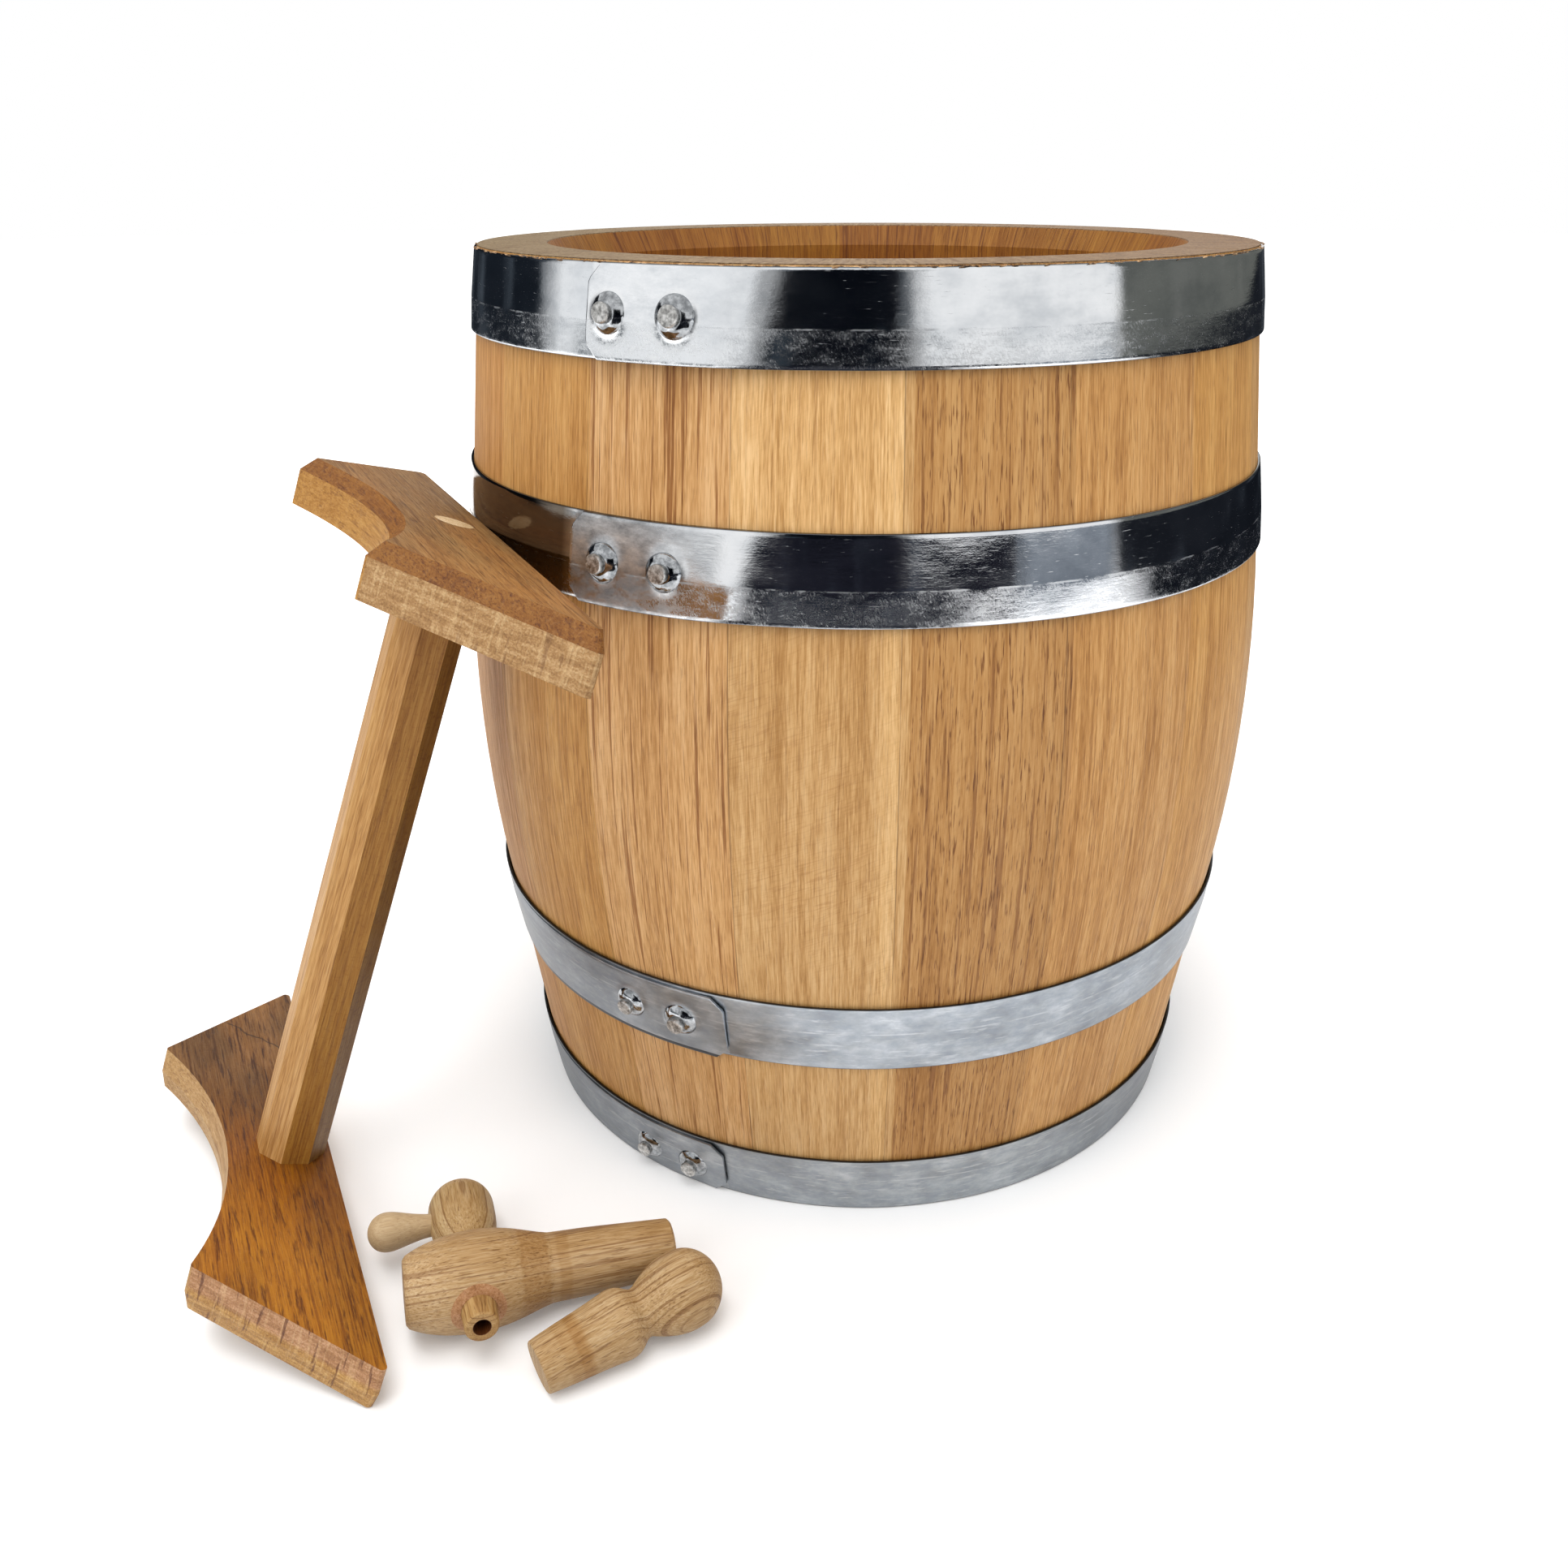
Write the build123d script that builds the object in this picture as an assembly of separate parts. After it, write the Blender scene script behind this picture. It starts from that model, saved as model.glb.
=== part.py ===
from build123d import *
from copy import copy
from math import acos, asin, atan, cos, degrees, hypot, radians, sin, sqrt
import os

# Small oak cask for spirits, standing on one head, with its stand, wooden tap and bung.
# Millimetres. +Z runs up the cask's axis and the floor is z = 0.

# cask
CASK_H = 320.0
RIM_R = 132.8              # outer radius at both ends
END_SLOPE = 0.1237         # both ends are straight cones, so that the hoops drive up tight
CONE_H = 97.0
STAVES = 18
CHIME_R = 110.0            # inner edge of the rim
WALL_R = 106.0             # straight inner wall below the rim's bevel
BEVEL_H = 7.6
WALL_END = 52.0            # where the straight inner wall turns into the hollowed bilge
BILGE_WALL = 22.6          # wood left at the widest place
CROZE_DEPTH = 4.0
CROZE_W = 6.0
HEAD_T = 16.0
HEAD_EDGE = 12.0           # width of the bevel that thins a head down to the croze
HEAD_RECESS = 24.0         # rim to the head's outer face
HEAD_BOARDS = 5
BUNG_HOLE_R = 9.6
TAP_HOLE_R = 9.9
TAP_HOLE_Y = -82.0

# hoops: end of the cask it sits on (1 is the top), that end to the strip's outer edge, strip's width,
# free end's angle from the front, free end to the first rivet, rivet to rivet, outer edge to the rivets
HOOP_T = 1.0
HOOP_CLEAR = 0.4           # the lowest hoop stops short of the floor, so that the staves stand on it
HOOP_FLARE = 0.5           # each hoop stands off the staves on its bilge side
RIDGE = 0.3                # shallow ridge that driving leaves along the strip
RIDGE_AT = 0.6             # share of the width, from the cask's end
HOOPS = {
    "hoop_chime_bottom": (0, HOOP_CLEAR, 24.0, -14.6, 13.0, 19.6, 10.2),
    "hoop_quarter_bottom": (0, 69.0, 26.4, -12.0, 16.6, 20.4, 12.4),
    "hoop_quarter_top": (1, 68.8, 26.2, -31.6, 13.5, 21.7, 13.6),
    "hoop_chime_top": (1, 0.6, 25.4, -29.2, 8.2, 21.7, 13.0),
}
LAP_SLIP = 1.2             # the lower hoops' free ends were riveted this much too low
LAP_FADE = 45.0            # degrees over which the outer layer leaves the inner one
LAP_CHAMFER = 4.5
RIVET_R = 2.7
RIVET_FIT = 0.03
RIVET_IN = 1.8
RIVET_OUT = 3.9
COLLAR_R = 4.4
COLLAR_T = 0.9
DIMPLE_R = 7.2             # bulge in the strip round each rivet
DIMPLE_H = 0.9
DIMPLE_SEAT = 0.6

# stand
STAND_L = 253.0
PLATE_T = 16.4
UPPER_PLATE_T = 17.4
FOOT_W = 228.5
CRADLE_W = 126.0
PLATE_H = 52.0             # foot edge to the cradle's tips
UPPER_PLATE_H = 51.0
CRADLE_SAG = 16.4
UPPER_BEVEL = (3.6, 5.2)   # taken off the cradle and the ends along the outer face: in, high
LOWER_BEVEL = (1.6, 6.5)
UPPER_SKEW = 6.0           # the plates' foot edges were sawn off centre
LOWER_SKEW = -1.5
PLATE_ROUND = 1.5
BAR_AF = 22.6
BAR_UP = 13.7              # bar's centre above the foot edge
DOWEL_R = 6.2
DOWEL_IN = 26.0
DOWEL_FIT = 0.02
STAND_TURN = 34.2          # direction in which it leans
STAND_LEAN = 21.38
STAND_ASIDE = 14.55        # its middle passes the cask's axis at this distance
LEAN_CLEAR = 0.23          # left between the upper plate and what it leans on

# tap
TAP_FRONT = 21.8
TAP_TAIL = 65.8
TAP_R = 16.0
TAIL_R = 9.4
TAIL_ROOT = (24.6, 11.2)   # where the round body turns into the tail: along, radius
TAP_FACE_R = 11.2
SLEEVE_R = 8.7
KEY_R = 6.2                # tapered plug, where it crosses the tap's axis
KEY_TAPER = 0.035
KEY_FIT = 0.05
SPOUT_L = 23.3
KNOB_AT = 39.3
KNOB_R = 11.2
WATERWAY_R = 2.8
HANDLE_AT = 34.0
HANDLE_L = 31.6
HANDLE_R = 6.6
HANDLE_NECK = 3.9
PEG_R = 3.4
PEG_FROM = 3.6
TAP_FROM_STAND = (82.36, -54.16)   # it lies on the floor beside the stand's lower plate
TAP_TURN = 26.8

# bung
BUNG_L = 63.2
TIP_R = 8.5
BALL_R = 12.9
BALL_AT = 50.3
SHOULDER = (28.2, 11.3)    # end of the cone: along, radius
NECK = (34.8, 8.1)
BUNG_FROM_TAP = (29.07, -24.77)
BUNG_TURN = 39.9

MID = CASK_H / 2
STEP = 360.0 / STAVES
HEAD_R = WALL_R + CROZE_DEPTH - 0.1


def cone_r(z):
    """Outer radius of the staves on the straight cones."""
    return RIM_R + END_SLOPE * min(z, CASK_H - z)


def bilge_r():
    """Outer radius at mid height: the arc is tangent to both cones."""
    half = MID - CONE_H
    radius = half / sin(atan(END_SLOPE))
    return cone_r(CONE_H) + radius * (1 - cos(atan(END_SLOPE)))


def turned(*pieces):
    """Solid turned about +X. Each piece is a run of (x, r) points; a run in a list is a smooth curve."""
    runs = [list(p) for p in pieces]
    start, end = runs[0][0], runs[-1][-1]
    with BuildPart() as p:
        with BuildSketch(Plane.XY):
            with BuildLine():
                if start[1] > 0:
                    Line((start[0], 0), start)
                for piece in pieces:
                    Spline(*piece) if isinstance(piece, list) else Polyline(*piece)
                if end[1] > 0:
                    Line(end, (end[0], 0))
                Line((end[0], 0), (start[0], 0))
            make_face()
        revolve(axis=Axis.X)
    return p.part


def stations(a, b, radius, *shares):
    """Points of a turned profile between x = a and x = b, given as shares of the way and of the radius."""
    return [(a + (b - a) * along, radius * out) for along, out in shares]


def rod(radius, a, b):
    """Round rod along +X from x = a to x = b."""
    return Pos((a + b) / 2, 0, 0) * Rot(0, 90, 0) * Cylinder(radius, b - a)


def at_angle(angle):
    """Turns +X to this angle, counted from the front (-Y) towards +X."""
    return Rot(0, 0, angle - 90)


def stave_blank():
    low, high = WALL_END, CASK_H - WALL_END
    croze = HEAD_RECESS + HEAD_T / 2
    groove = [(WALL_R, croze + CROZE_W / 2), (WALL_R + CROZE_DEPTH, croze + CROZE_W / 2),
              (WALL_R + CROZE_DEPTH, croze - CROZE_W / 2), (WALL_R, croze - CROZE_W / 2)]
    foot = [(WALL_R, low), *groove, (WALL_R, BEVEL_H), (CHIME_R, 0), (RIM_R, 0), (cone_r(CONE_H), CONE_H)]
    rim = [(r, CASK_H - z) for r, z in foot]
    with BuildPart() as p:
        with BuildSketch(Plane.XZ):
            with BuildLine():
                Polyline(*foot)
                ThreePointArc(foot[-1], (bilge_r(), MID), rim[-1])
                Polyline(*rim)
                ThreePointArc(rim[0], (bilge_r() - BILGE_WALL, MID), foot[0])
            make_face()
        revolve(axis=Axis.Z, revolution_arc=STEP)
    return Rot(0, 0, -STEP / 2) * p.part


def staves():
    blank = stave_blank()
    out = {}
    for i in range(STAVES):
        stave = at_angle(i * STEP) * blank
        if i == STAVES // 2:
            stave -= Pos(0, bilge_r(), MID) * Rot(90, 0, 0) * Cylinder(BUNG_HOLE_R, 4 * BILGE_WALL)
        out[f"stave_{i + 1:02d}"] = stave
    return out


def disc(outline):
    """Solid turned about the cask's axis from (r, z) points."""
    with BuildPart() as p:
        with BuildSketch(Plane.XZ):
            with BuildLine():
                Polyline(*outline, close=True)
            make_face()
        revolve(axis=Axis.Z)
    return p.part


def head_disc():
    lip = CROZE_W / 2 - 0.02
    side = [(0, HEAD_T / 2), (WALL_R - HEAD_EDGE, HEAD_T / 2), (WALL_R, lip), (HEAD_R, lip - 0.4)]
    return disc(side + [(r, -z) for r, z in reversed(side)])


def head(name, z, hole):
    disc = Pos(0, 0, z) * head_disc()
    if hole:
        disc -= Pos(0, TAP_HOLE_Y, z) * Cylinder(TAP_HOLE_R, 2 * HEAD_T)
    width = 2 * HEAD_R / HEAD_BOARDS
    out = {}
    for i in range(HEAD_BOARDS):
        slab = Pos(0, (i + 0.5) * width - HEAD_R, z) * Box(3 * HEAD_R, width, 2 * HEAD_T)
        out[f"{name}_board_{i + 1}"] = disc & slab
    return out


def hoop_seat(low, high, shares):
    """(r, z) on a hoop's inner face at these shares of its width, counted from the cask's end."""
    rows = []
    for share in shares:
        z = low + share * (high - low) if high < MID else high - share * (high - low)
        rows.append((cone_r(z) + HOOP_FLARE * max(share, 0), z))
    return rows


def band(low, high, out):
    """Hoop's section turned all round: solid inside, its outer face this far off its inner one."""
    (r0, z0), (r1, z1), (r2, z2) = hoop_seat(low, high, (0, RIDGE_AT, 1))
    return disc([(0, z0), (r0 + out, z0), (r1 + out + RIDGE, z1), (r2 + out, z2), (0, z2)])


def core(low, high):
    """The room inside a hoop."""
    seat = hoop_seat(low, high, (-0.1, 0, 1.1))
    return disc([(0, seat[0][1]), *seat, (0, seat[2][1])])


def sector(angle, low, high):
    with BuildPart() as p:
        with BuildSketch(Plane.XZ):
            with Locations((RIM_R, (low + high) / 2)):
                Rectangle(RIM_R, high - low + 2)
        revolve(axis=Axis.Z, revolution_arc=abs(angle))
    return p.part if angle > 0 else Rot(0, 0, angle) * p.part


FADE_SHARE = cos(radians(LAP_FADE)) / (1 - cos(radians(LAP_FADE)))


def layer_off(angle):
    """How far the outer layer stands off the inner one, at this angle from the free end."""
    return HOOP_T * ((1 + FADE_SHARE) * cos(radians(angle)) - FADE_SHARE)


def lap_layer(low, high, side):
    """The strip's free end with its cut corners, at angle 0 and running the other way from side."""
    layer = Pos(HOOP_T * (1 + FADE_SHARE), 0, 0) * band(low, high, HOOP_T * (1 - FADE_SHARE))
    layer &= sector(-side * (LAP_FADE + 4), low, high)
    for z in (low, high):
        layer -= Pos(RIM_R, 0, z) * Rot(45, 0, 0) * Box(RIM_R, LAP_CHAMFER * sqrt(2), LAP_CHAMFER * sqrt(2))
    return layer


def rivet():
    tip, top = 0.5, DIMPLE_SEAT + COLLAR_T
    return turned(((-RIVET_IN, RIVET_R), (DIMPLE_SEAT, RIVET_R), (DIMPLE_SEAT, COLLAR_R),
                   (top - 0.4, COLLAR_R), (top, COLLAR_R - 0.6), (top, RIVET_R),
                   (RIVET_OUT - tip, RIVET_R), (RIVET_OUT, RIVET_R - tip)))


def hoop(name, on_top, edge, width, end, margin, pitch, rivet_in):
    low = CASK_H - edge - width if on_top else edge
    high = low + width
    rivet_z = high - rivet_in if on_top else low + rivet_in
    side, slip = (-1, 0.0) if on_top else (1, LAP_SLIP)
    body = band(low, high, HOOP_T) + at_angle(end) * lap_layer(max(low - slip, HOOP_CLEAR), high - slip, side)
    body -= core(low, high)
    ball = (DIMPLE_R**2 + DIMPLE_H**2) / (2 * DIMPLE_H)
    dimple = (Pos(DIMPLE_H - ball, 0, 0) * Sphere(ball)) & rod(DIMPLE_R + 1, -1.2, 2)
    tilt = degrees(atan(END_SLOPE + HOOP_FLARE / (high - low)))
    out = {}
    for i, along in enumerate((margin, margin + pitch)):
        back = degrees(along / cone_r(low))
        face = cone_r(rivet_z) + HOOP_FLARE / 2 + HOOP_T + RIDGE / 2 + layer_off(back)
        place = at_angle(end - side * back) * Pos(face, 0, rivet_z) * Rot(0, side * tilt, 0)
        body += place * dimple
        body -= place * rod(COLLAR_R + RIVET_FIT, DIMPLE_SEAT, DIMPLE_H + 1)
        body -= place * rod(RIVET_R + RIVET_FIT, -8, 2)
        out[f"{name}_rivet_{i + 1}"] = place * rivet()
    return {name: body, **out}


def plate_end(foot_half, height, inset, radius):
    """Foot corner and cradle tip of one end of a plate, with the end and the cradle moved in by inset."""
    ex, centre = CRADLE_W / 2 - foot_half, radius - CRADLE_SAG
    length = hypot(ex, height)
    px, py = foot_half - height / length * inset, ex / length * inset - height
    a, b = ex * ex + height * height, 2 * (px * ex + (py - centre) * height)
    c = px * px + (py - centre) ** 2 - (radius + inset) ** 2
    k = (-b - sqrt(b * b - 4 * a * c)) / (2 * a)
    return (px - (py + height) / height * ex, -height), (px + k * ex, py + k * height)


def plate_outline(height, skew, inset, z):
    """Trapezoid with the cradle cut into its short side; the cradle's tips lie on y = PLATE_H."""
    radius = ((CRADLE_W / 2) ** 2 + CRADLE_SAG**2) / (2 * CRADLE_SAG)
    foot, tip = plate_end(FOOT_W / 2 + skew, height, inset, radius)
    foot_2, tip_2 = plate_end(FOOT_W / 2 - skew, height, inset, radius)
    with BuildSketch(Plane((0, PLATE_H, z))) as s:
        with BuildLine():
            Polyline((-tip_2[0], tip_2[1]), (-foot_2[0], foot_2[1]), foot, tip)
            ThreePointArc(tip, (0, -CRADLE_SAG - inset), (-tip_2[0], tip_2[1]))
        make_face()
        fillet(s.vertices(), PLATE_ROUND)
    return s.sketch


def stand_plate(height, skew, thick, bevel):
    """Outer face at z = 0, bevelled along the cradle and both ends."""
    inset, rise = bevel
    plate = extrude(plate_outline(height, skew, 0, rise), thick - rise)
    plate += loft([plate_outline(height, skew, inset, 0), plate_outline(height, skew, 0, rise)], ruled=True)
    return plate - Pos(0, BAR_UP, 0) * Cylinder(DOWEL_R + DOWEL_FIT, 4 * thick)


def stand_bar():
    length = STAND_L - PLATE_T - UPPER_PLATE_T
    bar = extrude(RegularPolygon(BAR_AF / 2, 8, major_radius=False, rotation=22.5), length)
    for z in (0, length):
        bar -= Pos(0, 0, z) * Cylinder(DOWEL_R + DOWEL_FIT, 2 * DOWEL_IN + 2)
    return Pos(0, BAR_UP, PLATE_T) * bar


def lean_on(cask, plate, turn):
    """Slides the plate towards the cask's axis until it is LEAN_CLEAR off what it meets; gives the slide."""
    met = Compound(children=[copy(part) for name, part in cask.items() if not name.startswith("head")])
    slide = Location()
    while (gap := (slide * plate).distance_to(met) - LEAN_CLEAR) > 0.001:
        slide = Pos(gap * cos(turn), gap * sin(turn), 0) * slide
    return slide


def stand_dowel(thick):
    return Pos(0, BAR_UP, (thick + DOWEL_IN) / 2) * Cylinder(DOWEL_R, thick + DOWEL_IN)


def stand(cask):
    """The stand's pieces, and the place on the floor where its lower plate's foot edge stands."""
    turn, lean = radians(STAND_TURN), radians(STAND_LEAN)
    reach = STAND_L + bilge_r()
    start = (STAND_ASIDE * sin(turn) - reach * cos(turn), -STAND_ASIDE * cos(turn) - reach * sin(turn), 0)
    frame = Plane(start, x_dir=(-sin(turn), cos(turn), 0),
                  z_dir=(sin(lean) * cos(turn), sin(lean) * sin(turn), cos(lean))).location
    upper = Pos(0, 0, STAND_L) * Rot(0, 180, 0)
    parts = {
        "stand_plate_lower": stand_plate(PLATE_H, LOWER_SKEW, PLATE_T, LOWER_BEVEL),
        "stand_plate_upper": upper * stand_plate(UPPER_PLATE_H, UPPER_SKEW, UPPER_PLATE_T, UPPER_BEVEL),
        "stand_bar": stand_bar(),
        "stand_dowel_lower": stand_dowel(PLATE_T),
        "stand_dowel_upper": upper * stand_dowel(UPPER_PLATE_T),
    }
    frame = lean_on(cask, frame * parts["stand_plate_upper"], turn) * frame
    return {name: frame * part for name, part in parts.items()}, frame.position


def tap_blank():
    """Turned body: +X is the tail that goes into the cask, the key crosses it at x = 0."""
    face = (0.9 - TAP_FRONT, TAP_FACE_R)
    return turned(((-TAP_FRONT, TAP_FACE_R - 1.3), face),
                  [face, *stations(-TAP_FRONT, 0, TAP_R, (0.22, 0.8125), (0.518, 0.931), (1, 1)),
                   *stations(0, TAIL_ROOT[0], TAP_R, (0.325, 0.9625), (0.59, 0.875), (0.813, 0.775)),
                   TAIL_ROOT],
                  (TAIL_ROOT, *stations(TAIL_ROOT[0], TAP_TAIL, TAIL_R, (0.277, 1.16), (0.568, 1.096)),
                   (TAP_TAIL - 0.8, TAIL_R), (TAP_TAIL, TAIL_R - 0.8)))


def along_key(part):
    return Rot(0, -90, 0) * part


def key_r(z, fit=0.0):
    return KEY_R + KEY_TAPER * z + fit


def tap_body():
    body = tap_blank() - along_key(rod(SLEEVE_R, -2 * TAP_R, 2 * TAP_R))
    return body - rod(WATERWAY_R, 0, TAP_TAIL + 1)


def tap_sleeve():
    """Sleeve in the body, its ends cut to the body's own round; the key turns in it."""
    through = 1.5 * TAP_R
    sleeve = tap_blank() & along_key(rod(SLEEVE_R, -through, through))
    sleeve -= along_key(turned(((-through, key_r(-through, KEY_FIT)), (through, key_r(through, KEY_FIT)))))
    return sleeve - rod(WATERWAY_R, 0, 2 * SLEEVE_R)


def tap_key():
    """Tapered plug: the knob is at +Z, the spout at -Z, and the waterway turns from the spout to +X."""
    tip, neck = -SPOUT_L, TAP_R + 1.2
    key = along_key(turned(
        ((tip, key_r(tip) - 0.5), (tip + 0.5, key_r(tip)), (neck, key_r(neck))),
        [(neck, key_r(neck)),
         *stations(neck, KNOB_AT, KNOB_R, (0.149, 0.75), (0.353, 0.92), (0.579, 0.982), (0.91, 1)),
         *stations(KNOB_AT, KNOB_AT + KNOB_R, KNOB_R, (0.179, 0.982), (0.58, 0.8125), (0.875, 0.482),
                   (1, 0))]))
    key -= along_key(rod(WATERWAY_R, tip - 1, WATERWAY_R))
    key -= rod(WATERWAY_R, 0, 2 * KEY_R)
    seat = rod(PEG_R + DOWEL_FIT, -20, -PEG_FROM) + rod(HANDLE_NECK + DOWEL_FIT, -20, 1 - KNOB_R)
    return key - Pos(0, 0, HANDLE_AT) * seat


def tap_handle():
    shoulder = KNOB_R - 1
    handle = turned(((PEG_FROM, PEG_R), (shoulder, PEG_R), (shoulder, HANDLE_NECK),
                     (shoulder + 1, HANDLE_NECK)),
                    [(shoulder + 1, HANDLE_NECK),
                     *stations(shoulder + 1, HANDLE_L, HANDLE_R, (0.235, 0.712), (0.431, 0.864), (0.676, 1),
                               (0.848, 0.864), (0.961, 0.485), (1, 0))])
    return Pos(0, 0, HANDLE_AT) * Rot(0, 180, 0) * handle


def on_floor(parts):
    low = min(part.bounding_box().min.Z for part in parts.values())
    return {name: Pos(0, 0, -low) * part for name, part in parts.items()}


def tap(at):
    """Lies on its belly, its tail and the knob."""
    droop = atan((TAP_R - TAIL_R) / TAP_TAIL)
    turn = radians(TAP_TURN)
    height = TAP_R * cos(droop)
    roll = acos((KNOB_R - height) / KNOB_AT / cos(droop))
    away = (-sin(turn), cos(turn), 0.0)
    up = (sin(droop) * cos(turn), sin(droop) * sin(turn), cos(droop))
    key_dir = tuple(cos(roll) * u + sin(roll) * w for u, w in zip(up, away))
    frame = Plane((at.X, at.Y, height), x_dir=(cos(droop) * cos(turn), cos(droop) * sin(turn), -sin(droop)),
                  z_dir=key_dir).location
    parts = {"tap_body": tap_body(), "tap_sleeve": tap_sleeve(), "tap_key": tap_key(),
             "tap_handle": tap_handle()}
    return on_floor({name: frame * part for name, part in parts.items()})


def bung(at):
    """Lies on its tip and the ball."""
    rise = asin(BALL_R / hypot(BALL_AT, TIP_R)) - atan(TIP_R / BALL_AT)
    turn = radians(BUNG_TURN)
    stopper = turned(((0, TIP_R - 0.4), (0.4, TIP_R)),
                     [(0.4, TIP_R),
                      *stations(0, SHOULDER[0], SHOULDER[1], (0.284, 0.832), (0.603, 0.903), (0.851, 0.973)),
                      SHOULDER,
                      *stations(SHOULDER[0], NECK[0], SHOULDER[1], (0.424, 0.929), (0.758, 0.788)),
                      NECK,
                      *stations(NECK[0], BALL_AT, BALL_R, (0.142, 0.69), (0.355, 0.822), (0.658, 0.953)),
                      (BALL_AT, BALL_R),
                      *stations(BALL_AT, BUNG_L, BALL_R, (0.403, 0.93), (0.721, 0.713), (0.922, 0.419)),
                      (BUNG_L, 0)])
    frame = Plane((at.X, at.Y, TIP_R * cos(rise)),
                  x_dir=(cos(rise) * cos(turn), cos(rise) * sin(turn), sin(rise)),
                  z_dir=(-sin(rise) * cos(turn), -sin(rise) * sin(turn), cos(rise))).location
    return on_floor({"bung": frame * stopper})


def build():
    lift = HEAD_RECESS + HEAD_T / 2
    parts = staves()
    parts |= head("head_bottom", lift, False) | head("head_top", CASK_H - lift, True)
    for name, sizes in HOOPS.items():
        parts |= hoop(name, *sizes)
    leaning, foot = stand(parts)
    tap_at = foot + Vector(*TAP_FROM_STAND)
    return parts | leaning | tap(tap_at) | bung(tap_at + Vector(*BUNG_FROM_TAP))


os.makedirs("parts", exist_ok=True)
for name, part in build().items():
    export_step(part, f"parts/{name}.step")
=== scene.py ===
from math import atan, cos, pi, radians, sin, tau

import bpy
from mathutils import Matrix, Vector

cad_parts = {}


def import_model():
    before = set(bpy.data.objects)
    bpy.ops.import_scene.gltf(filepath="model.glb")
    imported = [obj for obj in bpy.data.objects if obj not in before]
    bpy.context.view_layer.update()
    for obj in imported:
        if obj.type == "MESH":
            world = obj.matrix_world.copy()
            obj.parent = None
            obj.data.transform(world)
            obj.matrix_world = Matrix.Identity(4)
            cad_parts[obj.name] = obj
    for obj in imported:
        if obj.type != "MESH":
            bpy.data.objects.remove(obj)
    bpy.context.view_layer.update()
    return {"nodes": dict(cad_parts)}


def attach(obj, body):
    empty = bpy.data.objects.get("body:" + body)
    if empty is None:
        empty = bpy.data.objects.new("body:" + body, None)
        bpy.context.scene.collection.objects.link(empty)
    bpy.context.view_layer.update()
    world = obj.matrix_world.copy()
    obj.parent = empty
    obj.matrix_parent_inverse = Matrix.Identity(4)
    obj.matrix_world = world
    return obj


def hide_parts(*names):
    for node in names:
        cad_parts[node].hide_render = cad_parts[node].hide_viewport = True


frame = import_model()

NODES = frame["nodes"]
MM = 0.001

# Cask, in metres; the same sizes as the solids.
CASK_H = 0.320
RIM_R = 0.1328
END_SLOPE = 0.1237
CHIME_R = 0.110
RIM_MIDDLE_R = 0.120
BELLY_R = 0.142
STAVES = 18

# Hoop strip, and the lap at its free end.
STRIP_T = 1.0 * MM
STRIP_R = 0.140            # mean radius of the four hoops
STRIP_FLARE = 0.5 * MM
CREASE = 0.3 * MM
CREASE_AT = 0.6            # share of the width, from the edge that looks to the cask's end
HAMMERED = ((50, 0.55), (15, 0.12))   # size of the dents and how deep they are, in millimetres
LAP = radians(49)          # from the free end to where the outer layer has sunk into the inner one
LAP_FADE = cos(radians(45)) / (1 - cos(radians(45)))
LAP_SLIP = 1.2 * MM        # how far the lower hoops' free ends hang down
LAP_TILT = 1.1 * MM        # how far the upper hoops' free ends stand out at the lower edge
TILT_MIDDLE = 0.35         # height of the line about which they tilt, in widths above the middle
FLOOR_CLEAR = 0.4 * MM
CORNER = 4.5 * MM          # cut off each corner of the free end
BULGE_R, BULGE_H = 8.2 * MM, 1.7 * MM
SEAT_PROUD = 0.2 * MM      # how far the rivets' seats stand off the strip
RING_COLUMNS, LAP_COLUMNS, STRIP_ROWS = 641, 181, 21

# Rivets: outlines as (radius, height) in millimetres, from the strip's face outwards.
SEAT = [(0, -0.8), (6.2, -0.8), (6.0, 0.5), (5.4, 1.1), (4.6, 1.75), (3.9, 2.2), (3.2, 2.45), (0, 2.5)]
SHANK = [(0, 0.0), (2.6, 0.0), (2.6, 2.2), (2.85, 2.7), (3.05, 3.4), (3.0, 4.0), (2.75, 4.35), (1.5, 4.5),
         (0, 4.45)]

# Places and turns of the loose pieces, as in the solids.
STAND_AT = (-0.18727, -0.14486, 0.0)
STAND_TURN = radians(34.2)
STAND_LEAN = radians(21.38)
TAP_AT = (-0.10491, -0.19902, 0.0161935)
TAP_TURN = radians(26.8)
TAP_R, TAIL_R, TAP_TAIL = 16.0, 9.4, 65.8      # radii that the tap lies on, and the length between, in mm
TAP_DROOP = atan((TAP_R - TAIL_R) / TAP_TAIL)
TAP_KEY = (-0.45833374, 0.88062764, -0.12010471)   # the way the key's axis points
BUNG_AT = (-0.07584, -0.22379, 0.0083)
BUNG_TURN = radians(39.9)
BUNG_RISE = 0.09

# Staves from the front one round to the right: lightest tone, streaks and pores.
STAVE_TONES = ("dbb27b", "c5965b", "d7a668", "dca962", "d6a86b", "cf9c5f", "daad72", "d0a263", "d7a86b",
               "cb995c", "d9ad72", "d3a165", "cf9c5f", "d9ac6f", "d3a263", "d29d5c", "d4a360", "e2b57e")
STAVE_STREAKS = (0.25, 0.75, 0.35, 0.30, 0.5, 0.6, 0.3, 0.6, 0.5,
                 0.7, 0.3, 0.5, 0.6, 0.4, 0.4, 0.15, 0.45, 1.0)
STAVE_PORES = (0.25, 1.0, 0.5, 0.4, 0.5, 0.6, 0.3, 0.7, 0.5,
               0.6, 0.4, 0.5, 0.6, 0.4, 0.5, 0.2, 0.4, 0.35)

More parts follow.
